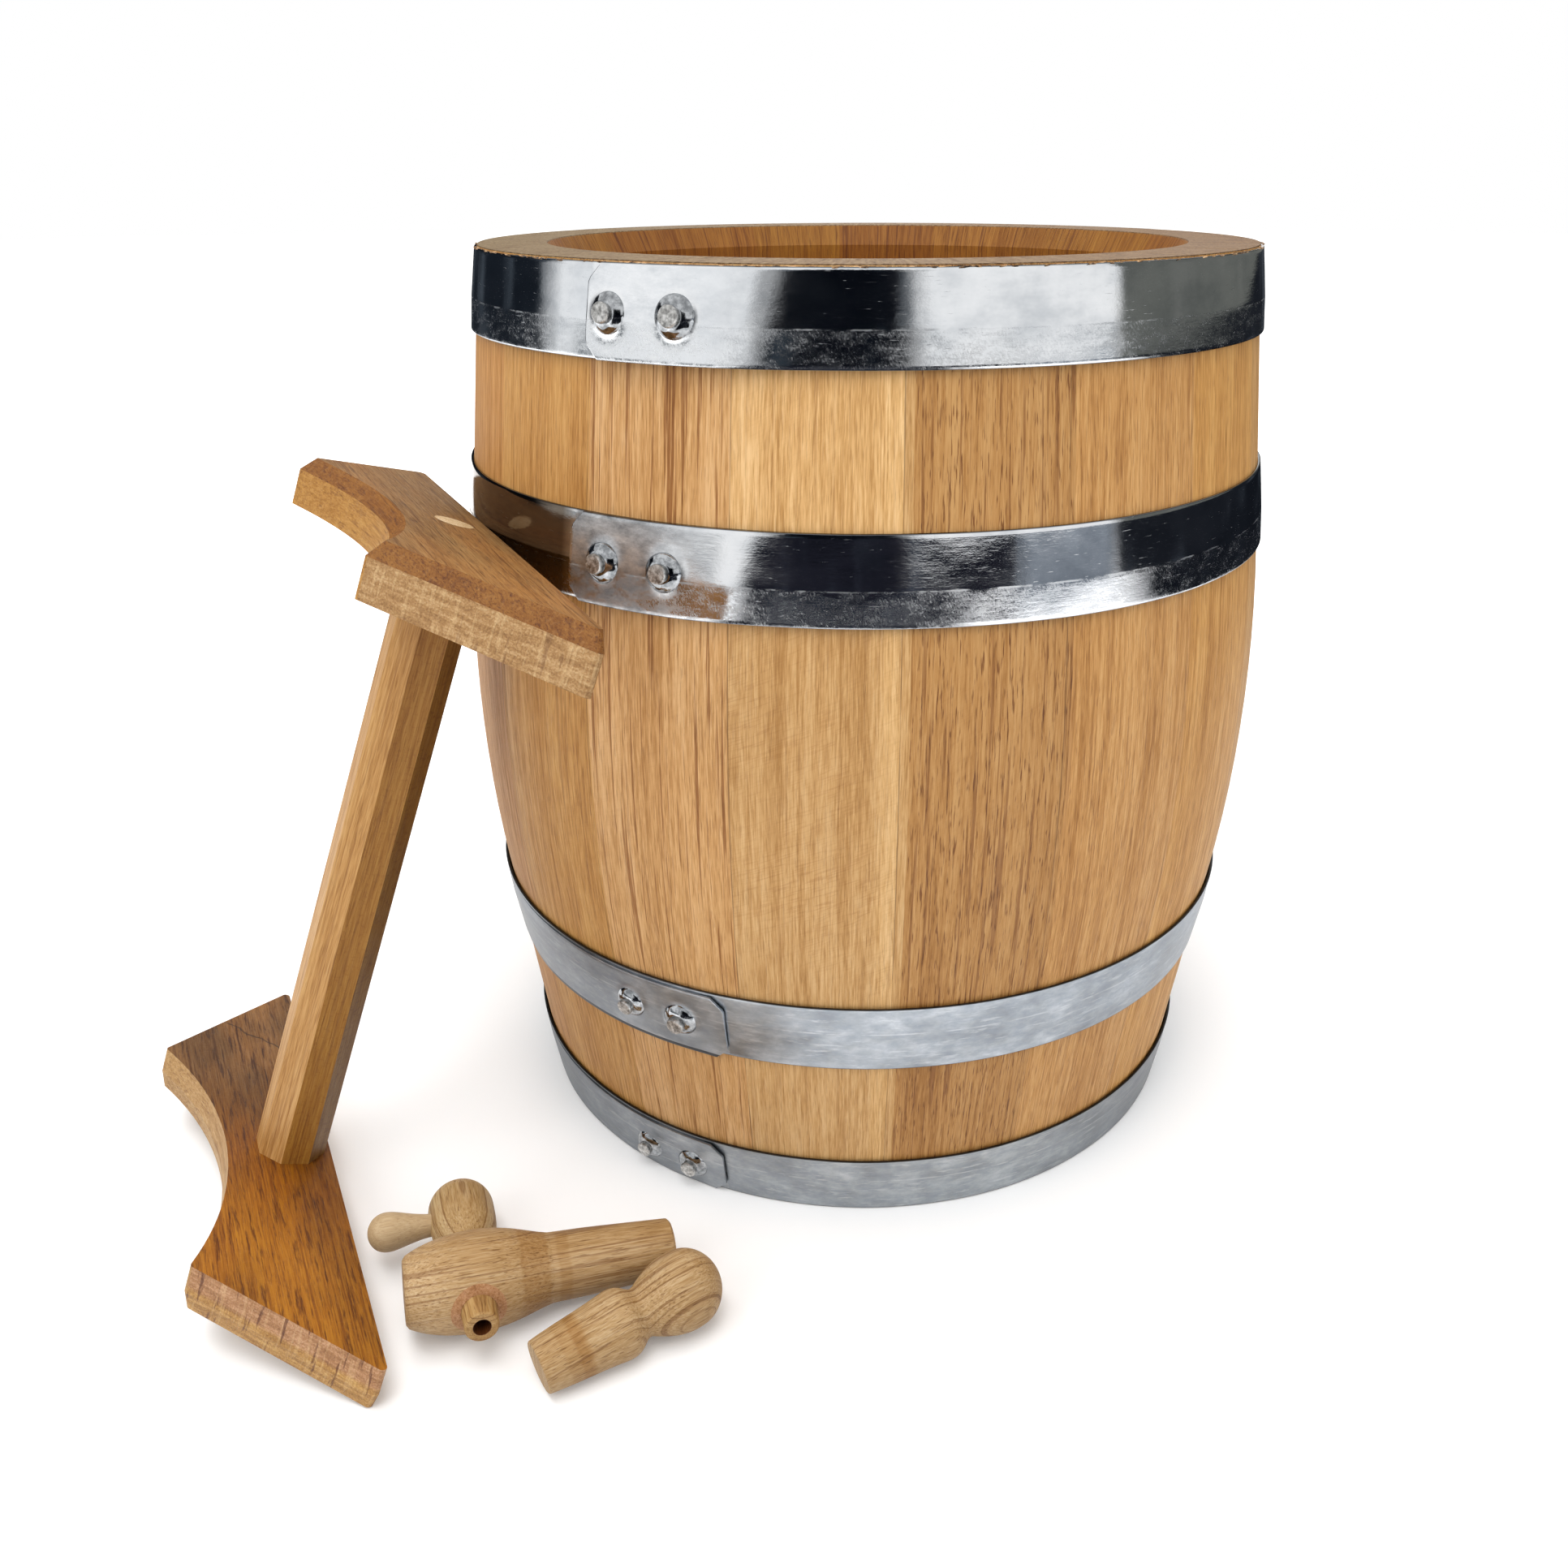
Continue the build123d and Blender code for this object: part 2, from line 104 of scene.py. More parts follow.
# Head boards: lighter and darker tone, streaks and pores.
HEAD_BOARDS = (("b88c58", "ab7e4b", 0.4, 0.5), ("c39a66", "b78c58", 0.3, 0.3), ("ad804c", "a07443", 0.7, 0.7),
               ("bf9560", "b08552", 0.4, 0.4), ("b48853", "a87b47", 0.6, 0.6))

# Painted shade and painted reflections on the hoops, brown where the stand shows in them: degrees from the
# front, and how much it darkens.
PAINTED_HOOP_SHADE = {
    "hoop_chime_bottom": ((-180, "b0b2b4"), (-60, "868a8e"), (-20, "e2dfdc"), (30, "eceae6"),
                          (60, "adacac"), (180, "b0b2b4")),
    "hoop_quarter_bottom": ((-180, "b8babc"), (-75, "7d7f82"), (-20, "f0f0f0"), (0, "ffffff"),
                            (70, "d0d2d4"), (180, "b8babc")),
    "hoop_quarter_top": ((-140, "d4d5d8"), (-100, "6c5a48"), (-50, "6c5a48"), (-33, "7d7266"),
                         (-31, "ffffff"), (60, "f8f8fa"), (120, "d4d5d8")),
    "hoop_chime_top": ((-110, "d8dadc"), (-60, "f4f6f8"), (60, "ffffff"), (120, "d8dadc")),
}

# Laps of the upper hoops, which were handled most: roughness that this added, from and to, and its tint.
HANDLED = {"hoop_quarter_top": (0.20, 0.30, "75787c"), "hoop_chime_top": (0.04, 0.14, "ffffff")}

MATH, VECTOR, MIX, RANGE = "ShaderNodeMath", "ShaderNodeVectorMath", "ShaderNodeMix", "ShaderNodeMapRange"
NOISE, RAMP, BUMP, COORDS = "ShaderNodeTexNoise", "ShaderNodeValToRGB", "ShaderNodeBump", "ShaderNodeTexCoord"
JOIN, SPLIT, TURN = "ShaderNodeCombineXYZ", "ShaderNodeSeparateXYZ", "ShaderNodeVectorRotate"
BLEND = {"data_type": "RGBA"}
TINT = {"data_type": "RGBA", "blend_type": "MULTIPLY"}
LIGHTEN = {"data_type": "RGBA", "blend_type": "SCREEN"}
LEVEL = {"data_type": "FLOAT"}


def cone_r(z):
    """Outer radius of the staves at this height, where a hoop sits."""
    return RIM_R + END_SLOPE * min(z, CASK_H - z)


class Hoop:
    """Sizes of a hoop, given in millimetres and degrees. Edge is from the cask's end to the strip's outer
    edge, end is the free end's angle from the front, margin is from the free end to the first rivet and pitch
    from there to the second, and rivet_in is from the outer edge to both."""

    def __init__(self, on_top, edge, width, end, margin, pitch, rivet_in):
        self.on_top = on_top
        self.side = -1.0 if on_top else 1.0
        self.low = CASK_H - (edge + width) * MM if on_top else edge * MM
        self.high = self.low + width * MM
        self.radius = cone_r(self.low)
        self.end = radians(end)
        self.rivets_back = margin * MM, (margin + pitch) * MM
        self.rivet_z = self.high - rivet_in * MM if on_top else self.low + rivet_in * MM
        self.slip = 0.0 if on_top else LAP_SLIP
        self.tilt = LAP_TILT if on_top else 0.0
        self.spring = (0.15 if on_top else 0.55) * MM


HOOPS = {
    "hoop_chime_bottom": Hoop(False, 0.4, 24.0, -14.6, 13.0, 19.6, 10.2),
    "hoop_quarter_bottom": Hoop(False, 69.0, 26.4, -12.0, 16.6, 20.4, 12.4),
    "hoop_quarter_top": Hoop(True, 68.8, 26.2, -31.6, 13.5, 21.7, 13.6),
    "hoop_chime_top": Hoop(True, 0.6, 25.4, -29.2, 8.2, 21.7, 13.0),
}


# -----------------------------------------------------------------------------------------------------------
# Nodes and patterns
# -----------------------------------------------------------------------------------------------------------

def linear(hex_colour):
    """sRGB hex to linear RGBA."""
    parts = [int(hex_colour[i:i + 2], 16) / 255 for i in (0, 2, 4)]
    return (*(p / 12.92 if p <= 0.04045 else ((p + 0.055) / 1.055) ** 2.4 for p in parts), 1.0)


def add(tree, kind, settings=None, *values, **named):
    """Adds a node. Settings are its properties, or its operation; stops fill a ramp with (position, hex or
    grey), and between says how it goes from one to the next. Values go to its sockets in order, named ones by
    name; each is a constant, a socket or a node."""
    node = tree.nodes.new(kind)
    settings = {"operation": settings} if isinstance(settings, str) else dict(settings or {})
    stops, between = settings.pop("stops", ()), settings.pop("between", "LINEAR")
    for key, value in settings.items():
        setattr(node, key, value)
    if stops:
        node.color_ramp.interpolation = between
        while len(node.color_ramp.elements) < len(stops):
            node.color_ramp.elements.new(0.5)
        for element, (position, shade) in zip(node.color_ramp.elements, stops):
            element.position = position
            element.color = linear(shade) if isinstance(shade, str) else (shade, shade, shade, 1.0)
    feed(tree, node, *values, **named)
    return node


def feed(tree, node, *values, **named):
    """Sets or links a node's sockets."""
    sockets = [s for s in node.inputs if s.enabled]
    pairs = list(zip(sockets, values))
    for key, value in named.items():
        pairs.append((next(s for s in sockets if s.name == key.replace("_", " ")), value))
    for socket, value in pairs:
        if isinstance(value, bpy.types.Node):
            value = next(s for s in value.outputs if s.enabled)
        if isinstance(value, bpy.types.NodeSocket):
            tree.links.new(value, socket)
        elif value is not None:
            socket.default_value = value


def new_material(name, **facts):
    """Material with one Principled shader; facts are constants on the shader's own sockets."""
    material = bpy.data.materials.new(name)
    tree = bare_tree(material)
    shader = add(tree, "ShaderNodeBsdfPrincipled", None, **facts)
    add(tree, "ShaderNodeOutputMaterial", None, shader)
    return material, tree, shader


def bare_tree(block):
    block.use_nodes = True
    block.node_tree.nodes.clear()
    return block.node_tree


def wear(obj, material):
    obj.data.materials.clear()
    obj.data.materials.append(material)


def noise(tree, point, size, stretch=(1, 1, 1), detail=2.0, roughness=0.55):
    """Noise with features about size millimetres across, drawn out along an axis where stretch is small."""
    if stretch != (1, 1, 1):
        point = add(tree, VECTOR, "MULTIPLY", point, stretch)
    return add(tree, NOISE, None, Vector=point, Scale=1000 / size, Detail=detail, Roughness=roughness)


def product(tree, value, *factors):
    """Product of masks and numbers."""
    for factor in factors:
        value = add(tree, MATH, "MULTIPLY", value, factor)
    return value


def weighed(tree, *pairs):
    """Sum of patterns, each times its weight."""
    total = 0.0
    for pattern, weight in pairs:
        total = add(tree, MATH, "MULTIPLY_ADD", pattern, weight, total)
    return total


def apart(tree, a, b):
    """How far two numbers are apart."""
    return add(tree, MATH, "ABSOLUTE", add(tree, MATH, "SUBTRACT", a, b))


def within_band(tree, value, low, high):
    """Distance inside a band, from its nearer edge."""
    return add(tree, MATH, "MINIMUM", add(tree, MATH, "SUBTRACT", value, low),
               add(tree, MATH, "SUBTRACT", high, value))


def from_axis(tree, point):
    """Distance from the local Z axis."""
    return add(tree, VECTOR, "LENGTH", add(tree, VECTOR, "MULTIPLY", point, (1, 1, 0))).outputs["Value"]


def from_front(tree, x, y):
    """Angle about the cask's axis: 0 at the front, positive to the right."""
    return add(tree, MATH, "ARCTAN2", x, product(tree, y, -1.0))


# -----------------------------------------------------------------------------------------------------------
# Oak, beech and cork
# -----------------------------------------------------------------------------------------------------------

class Grain:
    """Figure of sawn oak along Z of point: growth lines, fibre, open pores and ray flecks. Sizes are in
    millimetres. With a pith, the growth lines are rings round that place, as in a turned piece."""

    def __init__(self, tree, point, line=1.7, band=11.0, pith=None, wander=3.0, ray=0.9):
        drift = noise(tree, point, 50, (1, 1, 0.18), 1.0)
        shift = add(tree, MATH, "MULTIPLY_ADD", drift, wander * MM, -wander * MM / 2)
        moved = add(tree, VECTOR, "ADD", point, add(tree, JOIN, None, shift, shift, 0.0))
        growth = moved
        if pith:
            from_pith = add(tree, VECTOR, "SUBTRACT", moved, (pith[0] * MM, pith[1] * MM, 0.0))
            length = add(tree, SPLIT, None, moved).outputs["Z"]
            growth = add(tree, JOIN, None, from_axis(tree, from_pith), 0.0, length)
        bands = noise(tree, growth, band, (1, 1, 0.05))
        lines = noise(tree, growth, line, (1, 1, 0.022), 4.0, 0.7)
        fibre = noise(tree, moved, 0.5, (1, 1, 0.05), 2.0, 0.7)
        figure = weighed(tree, (bands, 0.24), (lines, 0.36), (fibre, 0.40))
        self.tone = add(tree, RANGE, None, figure, 0.40, 0.60)
        # streaks: the dark late wood of a few growth rings
        late_wood = noise(tree, growth, 1.2, (1, 1, 0.018), 3.0)
        self.streaks = add(tree, RANGE, None, late_wood, 0.56, 0.64)
        # open pores, 0.3 mm wide on the board, drawn at 0.5 mm so that they show
        self.pores = add(tree, RANGE, None, noise(tree, moved, 0.45, (1, 1, 0.06), 2.0), 0.58, 0.68)
        self.rays = add(tree, RANGE, None, noise(tree, moved, ray, (0.10, 0.6, 1), 1.0), 0.56, 0.70)
        self.height = weighed(tree, (lines, 0.6), (fibre, 0.6), (self.pores, -0.6))

    def colour(self, tree, light, depth=1.0, streaks=0.4, pores=0.4, rays=0.0):
        """Light is the wood's lightest tone; depth, streaks, pores and rays are strengths from 0 to 1."""
        shade = add(tree, RAMP, {"stops": [(0.0, "cbb795"), (0.5, "ebe0cd"), (1.0, "ffffff")]}, self.tone)
        colour = add(tree, MIX, TINT, depth, light, shade)
        colour = add(tree, MIX, TINT, product(tree, self.streaks, streaks), colour, linear("bca488"))
        colour = add(tree, MIX, TINT, product(tree, self.pores, pores), colour, linear("ad9272"))
        return add(tree, MIX, LIGHTEN, product(tree, self.rays, rays), colour, linear("6b5438"))


def rough_face(tree, shader, colour, height, tone, roughness, relief=0.5):
    """Wood in the light: dark grain is a little rougher than the pale wood between."""
    rough = add(tree, RANGE, None, tone, 0, 1, roughness + 0.07, roughness - 0.07)
    bump = add(tree, BUMP, None, Strength=relief, Distance=0.25 * MM, Height=height)
    feed(tree, shader, Base_Color=colour, Roughness=rough, Normal=bump)


def per_stave(tree, turns, row):
    """Value that changes from stave to stave."""
    stops = [(i / STAVES, value) for i, value in enumerate(row)]
    return add(tree, RAMP, {"stops": stops, "between": "CONSTANT"}, turns)


def painted_top_light_and_sapwood(tree, light, front, within, z):
    """Front stave: painted light near its upper end, where the light from above falls on it, with a strip of
    sapwood along its right side.
    """
    # painted light: the front stave's upper end is lightened as if lit from above
    painted_top_light = product(tree, front, add(tree, RANGE, None, z, 0.226, 0.250))
    light = add(tree, MIX, BLEND, painted_top_light, light, linear("efc68d"))
    sapwood = product(tree, front, add(tree, RANGE, None, within, 0.87, 0.90, 0.0, 0.5))
    return add(tree, MIX, BLEND, sapwood, light, linear("f2ca90"))


def plane_marks(tree, colour, point, z, front):
    """Faint marks of the plane across the staves, in patches at mid height, strongest on the front one."""
    tilted = add(tree, TURN, {"rotation_type": "Y_AXIS"}, point, Angle=radians(24))
    marks = add(tree, RANGE, None, noise(tree, tilted, 0.5, (0.08, 0.2, 1), 1.0), 0.50, 0.70)
    middle = add(tree, RANGE, None, apart(tree, z, 0.165), 0.03, 0.08, 0.30, 0.06)
    patches = add(tree, RANGE, None, noise(tree, point, 40, detail=1.0), 0.40, 0.60, 0.4, 1.0)
    strength = add(tree, MATH, "MULTIPLY_ADD", front, 0.75, 0.25)
    marks = product(tree, marks, middle, patches, strength)
    return add(tree, MIX, TINT, marks, colour, linear("c8a878"))


def seams(tree, colour, place, within):
    """Seams: a dark line about a fifth of a millimetre wide, broken where the staves close up."""
    edge = add(tree, MATH, "SUBTRACT", 0.5, apart(tree, within, 0.5))
    open_seam = noise(tree, place, 22, (1, 1, 0.5), 3.0)
    gap = add(tree, RANGE, None, open_seam, 0.40, 0.64, 0.0005, 0.008)
    seam = add(tree, RANGE, None, edge, 0.0, gap, 0.6, 0.0)
    return add(tree, MIX, TINT, seam, colour, linear("5f4222"))


def end_grain(tree, place, turns, radius):
    """End grain on the rim: grey brown with dark pores and pale rays that run outwards, under a painted cast
    of light that is cool on its left side and warm and darker on its right; colour and height.
    """
    x, _, z = add(tree, SPLIT, None, place).outputs
    polar = add(tree, JOIN, None, product(tree, turns, tau * RIM_MIDDLE_R), radius, z)
    height = weighed(tree, (noise(tree, polar, 1.3, (1, 0.12, 1)), 0.4),
                     (noise(tree, place, 1.1, roughness=0.7), 0.6))
    stops = [(0.36, "3d2814"), (0.45, "684d2f"), (0.56, "80694b"), (0.68, "978062")]
    colour = add(tree, RAMP, {"stops": stops}, height)
    # painted light and shade across the rim: cooler on the left, warmer and darker on the right
    painted_rim_cast = add(tree, RAMP, {"stops": [(0.0, "f2fdff"), (0.5, "ffffff"), (1.0, "eddfce")]},
               add(tree, RANGE, None, x, -RIM_R, RIM_R))
    return add(tree, MIX, TINT, 1.0, colour, painted_rim_cast), height


def stave_oak():
    """European oak, cleft, planed and scraped, never varnished: a dry matt golden face with fine straight
    grain, open pores and faint plane marks across; each stave is a different board. The rim shows its end
    grain and the inside of the chime is a deeper orange brown."""
    material, tree, shader = new_material("scraped_oak_staves", IOR=1.5)
    place = add(tree, COORDS).outputs["Object"]
    x, y, z = add(tree, SPLIT, None, place).outputs
    half_stave = 0.5 / STAVES
    turns = add(tree, MATH, "MULTIPLY_ADD", from_front(tree, x, y), 1 / tau, half_stave + 1)
    turns = add(tree, MATH, "FRACT", turns)
    staves = product(tree, turns, float(STAVES))
    number, within = (add(tree, MATH, kind, staves) for kind in ("FLOOR", "FRACT"))
    across = add(tree, MATH, "MULTIPLY_ADD", within, tau * BELLY_R / STAVES, -pi * BELLY_R / STAVES)
    radius = from_axis(tree, place)
    # the staves are bent, and their grain with them, so it hardly changes with the radius
    bent = add(tree, JOIN, None, across, product(tree, radius, 0.04), z)
    other_board = add(tree, VECTOR, "SCALE", (0.73, 0.31, 1.17), Scale=number)
    point = add(tree, VECTOR, "ADD", bent, other_board)
    grain = Grain(tree, point)

    front = add(tree, MATH, "LESS_THAN", number, 0.5)
    light, streaks, pores = (per_stave(tree, turns, row) for row in (STAVE_TONES, STAVE_STREAKS, STAVE_PORES))
    light = painted_top_light_and_sapwood(tree, light, front, within, z)
    colour = grain.colour(tree, light, 1.0, streaks, pores)
    colour = plane_marks(tree, colour, point, z, front)
    colour = seams(tree, colour, place, within)

    # inside of the chime, worked across the grain with a curved plane
    is_inside = add(tree, MATH, "LESS_THAN", radius, CHIME_R + 0.2 * MM)
    deeper = add(tree, MIX, TINT, 1.0, light, linear("ae984b"))
    colour = add(tree, MIX, BLEND, is_inside, colour, grain.colour(tree, deeper, 1.0, 0.8, 0.6))

    end_colour, end_height = end_grain(tree, place, turns, radius)
    is_end = add(tree, MATH, "GREATER_THAN", apart(tree, z, CASK_H / 2), CASK_H / 2 - 0.3 * MM)
    colour = add(tree, MIX, BLEND, is_end, colour, end_colour)
    height = add(tree, MIX, LEVEL, is_end, grain.height, end_height)
    rough_face(tree, shader, colour, height, grain.tone, 0.6)
    return material


def frame_of(x_axis, z_axis, at):
    """(location, Euler) of a piece's own frame: local Z is the grain."""
    z, x = Vector(z_axis).normalized(), Vector(x_axis)
    x = (x - z * x.dot(z)).normalized()
    return tuple(at), tuple(Matrix((x, z.cross(x), z)).transposed().to_euler())


def board(name, own, **figure):
    """Material of a piece of wood in its own frame; gives its tree, shader, point, grain and local normal."""
    material, tree, shader = new_material(name, IOR=1.5)
    coords = add(tree, COORDS).outputs
    point = add(tree, "ShaderNodeMapping", {"vector_type": "TEXTURE"}, coords["Object"], *own)
    turned = add(tree, TURN, {"rotation_type": "EULER_XYZ", "invert": True}, Vector=coords["Normal"],
                 Rotation=own[1])
    return material, tree, shader, point, Grain(tree, point, **figure), add(tree, SPLIT, None, turned).outputs


def stained(tree, colour, point, bands):
    """Bands across the grain, with ragged edges: (from, to, tint) in millimetres along Z."""
    length = add(tree, SPLIT, None, point).outputs["Z"]
    ragged = add(tree, MATH, "MULTIPLY_ADD", noise(tree, point, 4, (1, 1, 0.3), 3.0), 2.5 * MM, length)
    for start, stop, tint in bands:
        inside = product(tree, add(tree, RANGE, None, ragged, start * MM, (start + 1) * MM),
                         add(tree, RANGE, None, ragged, stop * MM, (stop + 1) * MM, 1.0, 0.0))
        colour = add(tree, MIX, TINT, inside, colour, linear(tint))
    return colour


def bore_with_painted_shade(tree, colour, point, radius, side):
    """Wall of a waterway along Z, darkened with painted shade: its radius in millimetres, and 1 or -1 for its
    side.
    """
    wall = add(tree, RANGE, None, from_axis(tree, point), (radius - 0.2) * MM, radius * MM, 1.0, 0.0)
    along = product(tree, add(tree, SPLIT, None, point).outputs["Z"], side)
    # painted shade inside the waterway
    painted_bore_shade = product(tree, wall, add(tree, MATH, "GREATER_THAN", along, 0.0))
    return add(tree, MIX, TINT, painted_bore_shade, colour, linear("8a6240"))


def plain_wood(name, own, tones, depth=1.0, streaks=0.4, pores=0.4, rays=0.0, stain=(), bore=None,
               joints=None, **figure):
    """Planed or turned wood; tones are its two lightest ones, mixed in soft clouds. Stain lists bands where
    liquor or the lathe's rest marked it, and bore is a waterway's radius and side. Joints are the places
    along X where the next boards begin."""
    material, tree, shader, point, grain, _ = board(name, own, **figure)
    clouds = noise(tree, point, 45)
    base = add(tree, RAMP, {"stops": [(0.35, tones[0]), (0.65, tones[1])]}, clouds)
    if stain:
        base = stained(tree, base, point, stain)
    if bore:
        base = bore_with_painted_shade(tree, base, point, *bore)
    colour = grain.colour(tree, base, depth, streaks, pores, rays)
    if joints:
        inside = within_band(tree, add(tree, SPLIT, None, point).outputs["X"], *joints)
        joint = add(tree, RANGE, None, inside, 0.1 * MM, 0.6 * MM, 0.85, 0.0)
        colour = add(tree, MIX, TINT, joint, colour, linear("5f4222"))
    rough_face(tree, shader, colour, grain.height, grain.tone, 0.6)
    return material


def sawn_end(tree, point, through, end, strokes):
    """Sawn end in two tones, one above the other: ray flecks one way, growth lines the other; its colour and
    height."""
    flecks = add(tree, RANGE, None, noise(tree, point, 1.0, (0.07, 1, 0.2), 1.0), 0.56, 0.64)
    tears = add(tree, RANGE, None, noise(tree, point, 1.6, (0.10, 1, 0.2), 3.0), 0.60, 0.66)
    growth = add(tree, RANGE, None, noise(tree, point, 1.3, (1, 0.08, 0.2), 2.0), 0.35, 0.65)
    speck = add(tree, RANGE, None, noise(tree, point, 0.6, detail=1.0), 0.3, 0.7)
    shade = add(tree, RAMP, {"stops": [(0.0, "ad9678"), (0.5, "d8c8b0"), (1.0, "ffffff")]},
                weighed(tree, (speck, 0.5), (growth, 0.5)))
    upper = add(tree, RANGE, None, through, 8.0 * MM, 9.5 * MM)
    colour = add(tree, MIX, BLEND, upper, linear(end[0]), linear(end[1]))
    colour = add(tree, MIX, TINT, 1.0, colour, shade)
    colour = add(tree, MIX, LIGHTEN, product(tree, flecks, 0.6), colour, linear("846a4c"))
    colour = add(tree, MIX, TINT, product(tree, tears, strokes), colour, linear("8a6038"))
    return colour, add(tree, MATH, "ADD", speck, flecks)


def paint_foot_shade(tree, colour, across, length, foot):
    """Painted contact shade round the foot of the bar, whose place on the face is given in millimetres."""
    spot = (foot[0] * MM, foot[1] * MM, 0.0)
    away = add(tree, VECTOR, "DISTANCE", add(tree, JOIN, None, across, length, 0.0), spot).outputs["Value"]
    painted_foot_shade = add(tree, RANGE, None, away, 26 * MM, 58 * MM, 1.0, 0.0)
    return add(tree, MIX, TINT, painted_foot_shade, colour, linear("dfd3a8"))


def shake_crack(tree, colour, point, across, length, shake):
    """Crack along a growth ring: (Z at Y 0, slope, from Y, to Y), in millimetres."""
    at, slope, first, last = shake
    waviness = 7 * MM
    line = add(tree, MATH, "ADD", length, product(tree, across, slope))
    line = add(tree, MATH, "MULTIPLY_ADD", noise(tree, point, 6, detail=2.0), waviness, line)
    dark = add(tree, RANGE, None, apart(tree, line, at * MM + waviness / 2), 0.3 * MM, 1.1 * MM, 0.9, 0.0)
    ends = (add(tree, RANGE, None, across, first * MM, (first + 3) * MM),
            add(tree, RANGE, None, across, (last - 3) * MM, last * MM, 1.0, 0.0))
    return add(tree, MIX, BLEND, product(tree, dark, *ends), colour, linear("3d2814"))


def plate_oak(name, own, near, far, bevel, end, wall, strokes, foot=None, shake=None):
    """Oiled oak, sawn: a face in two tones near the front end and two at the far one, a warmer bevel, sawn
    ends in two tones from below, with the rays showing as a fine pale grid, and the cradle's wall left from
    the band saw. Local X is the side that the face looks to, local Z the length of the plate."""
    material, tree, shader, point, grain, normal = board(name, own, line=1.3, band=9.0, wander=5.0)
    through, across, length = add(tree, SPLIT, None, point).outputs
    on_face = add(tree, RANGE, None, normal["X"], 0.93, 0.97)
    on_bevel = add(tree, RANGE, None, normal["X"], 0.30, 0.40)
    on_end = add(tree, RANGE, None, add(tree, MATH, "ABSOLUTE", normal["Z"]), 0.60, 0.64)

    clouds = add(tree, RANGE, None, noise(tree, point, 30, (1, 1, 0.4)), 0.38, 0.62)
    front, back = (add(tree, MIX, BLEND, clouds, linear(a), linear(b)) for a, b in (near, far))
    face = add(tree, MIX, BLEND, add(tree, RANGE, None, length, 5 * MM, 45 * MM), front, back)
    face = grain.colour(tree, face, 1.0, 0.7, 0.7, 0.15)
    if foot:
        # painted contact shade round the bar's foot
        face = paint_foot_shade(tree, face, across, length, foot)
    if shake:
        face = shake_crack(tree, face, point, across, length, shake)
    # oil that got into torn grain, in short dark strokes
    torn = add(tree, RANGE, None, noise(tree, point, 1.4, (1, 1, 0.09), 4.0, 0.65), 0.54, 0.64)
    face = add(tree, MIX, TINT, product(tree, torn, strokes), face, linear("7c5430"))

    sawn, sawn_height = sawn_end(tree, point, through, end, strokes)
    colour = add(tree, MIX, BLEND, on_end, grain.colour(tree, linear(wall), 1.0, 0.6, 0.3, 0.4), sawn)
    bevels = grain.colour(tree, linear(bevel), 1.0, 0.7, 0.7, 0.25)
    colour = add(tree, MIX, BLEND, on_bevel, colour, bevels)
    colour = add(tree, MIX, BLEND, on_face, colour, face)
    height = add(tree, MIX, LEVEL, on_end, grain.height, sawn_height)
    rough_face(tree, shader, colour, height, grain.tone, 0.58, 0.6)
    return material


def bar_oak(own):
    """Oiled oak, planed by hand to eight sides, with painted light on the facets that look away from the cask
    and painted shade, olive brown, on those that face it, where the rays cross it like fine ladder rungs."""
    material, tree, shader, point, grain, normal = board("oiled_oak_bar", own, line=1.5, band=7.0, ray=1.1)
    # painted light and shade by the facet's normal: pale away from the cask, olive brown towards it
    painted_shade_side = add(tree, RANGE, None, normal["Y"], -0.6, 0.6)
    light = add(tree, RAMP, {"stops": [(0.1, "c89c61"), (0.5, "aa7b34"), (0.9, "815e28")]}, painted_shade_side)
    colour = grain.colour(tree, light, 1.0, 0.45, 0.3)
    colour = add(tree, MIX, TINT, product(tree, grain.rays, painted_shade_side, 0.5), colour, linear("c4a070"))
    rough_face(tree, shader, colour, grain.height, grain.tone, 0.55)
    return material


def torn_fibre():
    """Torn oak fibre: pale where it broke fresh, dark where dirt got in."""
    material, tree, shader = new_material("torn_oak_fibre", IOR=1.5, Roughness=0.75)
    place = add(tree, COORDS).outputs["Object"]
    patch = noise(tree, place, 2.5, detail=3.0, roughness=0.7)
    colour = add(tree, RAMP, {"stops": [(0.40, "2e1f12"), (0.5, "7c5c3c"), (0.62, "c4a27a")]}, patch)
    feed(tree, shader, Base_Color=colour)
    return material


# -----------------------------------------------------------------------------------------------------------
# Steel and iron
# -----------------------------------------------------------------------------------------------------------

class StripFace:
    """Patterns on a hoop, drawn on the strip laid flat from its free end."""

    def __init__(self, tree, hoop):
        place = add(tree, COORDS).outputs["Object"]
        x, y, self.z = add(tree, SPLIT, None, place).outputs
        self.angle = from_front(tree, x, y)
        turns = add(tree, MATH, "MULTIPLY_ADD", self.angle, 1 / tau, 1 - hoop.end / tau)
        back = product(tree, add(tree, MATH, "FRACT", turns), tau * STRIP_R)
        self.flat = add(tree, JOIN, None, back, self.z, 0.0)
        self.clouds = noise(tree, self.flat, 20, (1, 1.6, 1), 4.0, 0.62)
        self.grime = noise(tree, self.flat, 3.2, (0.5, 1, 1), 5.0, 0.72)
        fine = noise(tree, self.flat, 0.45, (0.07, 1, 1), 2.0, 0.7)
        self.scratch = add(tree, RANGE, None, fine, 0.66, 0.74)
        # the crease, rubbed in places: rougher there on the upper hoops, and a painted highlight along it on
        # the lower ones
        self.crease = hoop.low + (hoop.high - hoop.low) * (1 - CREASE_AT if hoop.on_top else CREASE_AT)
        on_crease = add(tree, RANGE, None, apart(tree, self.z, self.crease), 0.1 * MM, 0.4 * MM, 1, 0)
        rubbed = add(tree, RANGE, None, noise(tree, self.flat, 4, (0.5, 1, 1), 3.0), 0.42, 0.58)
        self.ridge = product(tree, on_crease, rubbed)


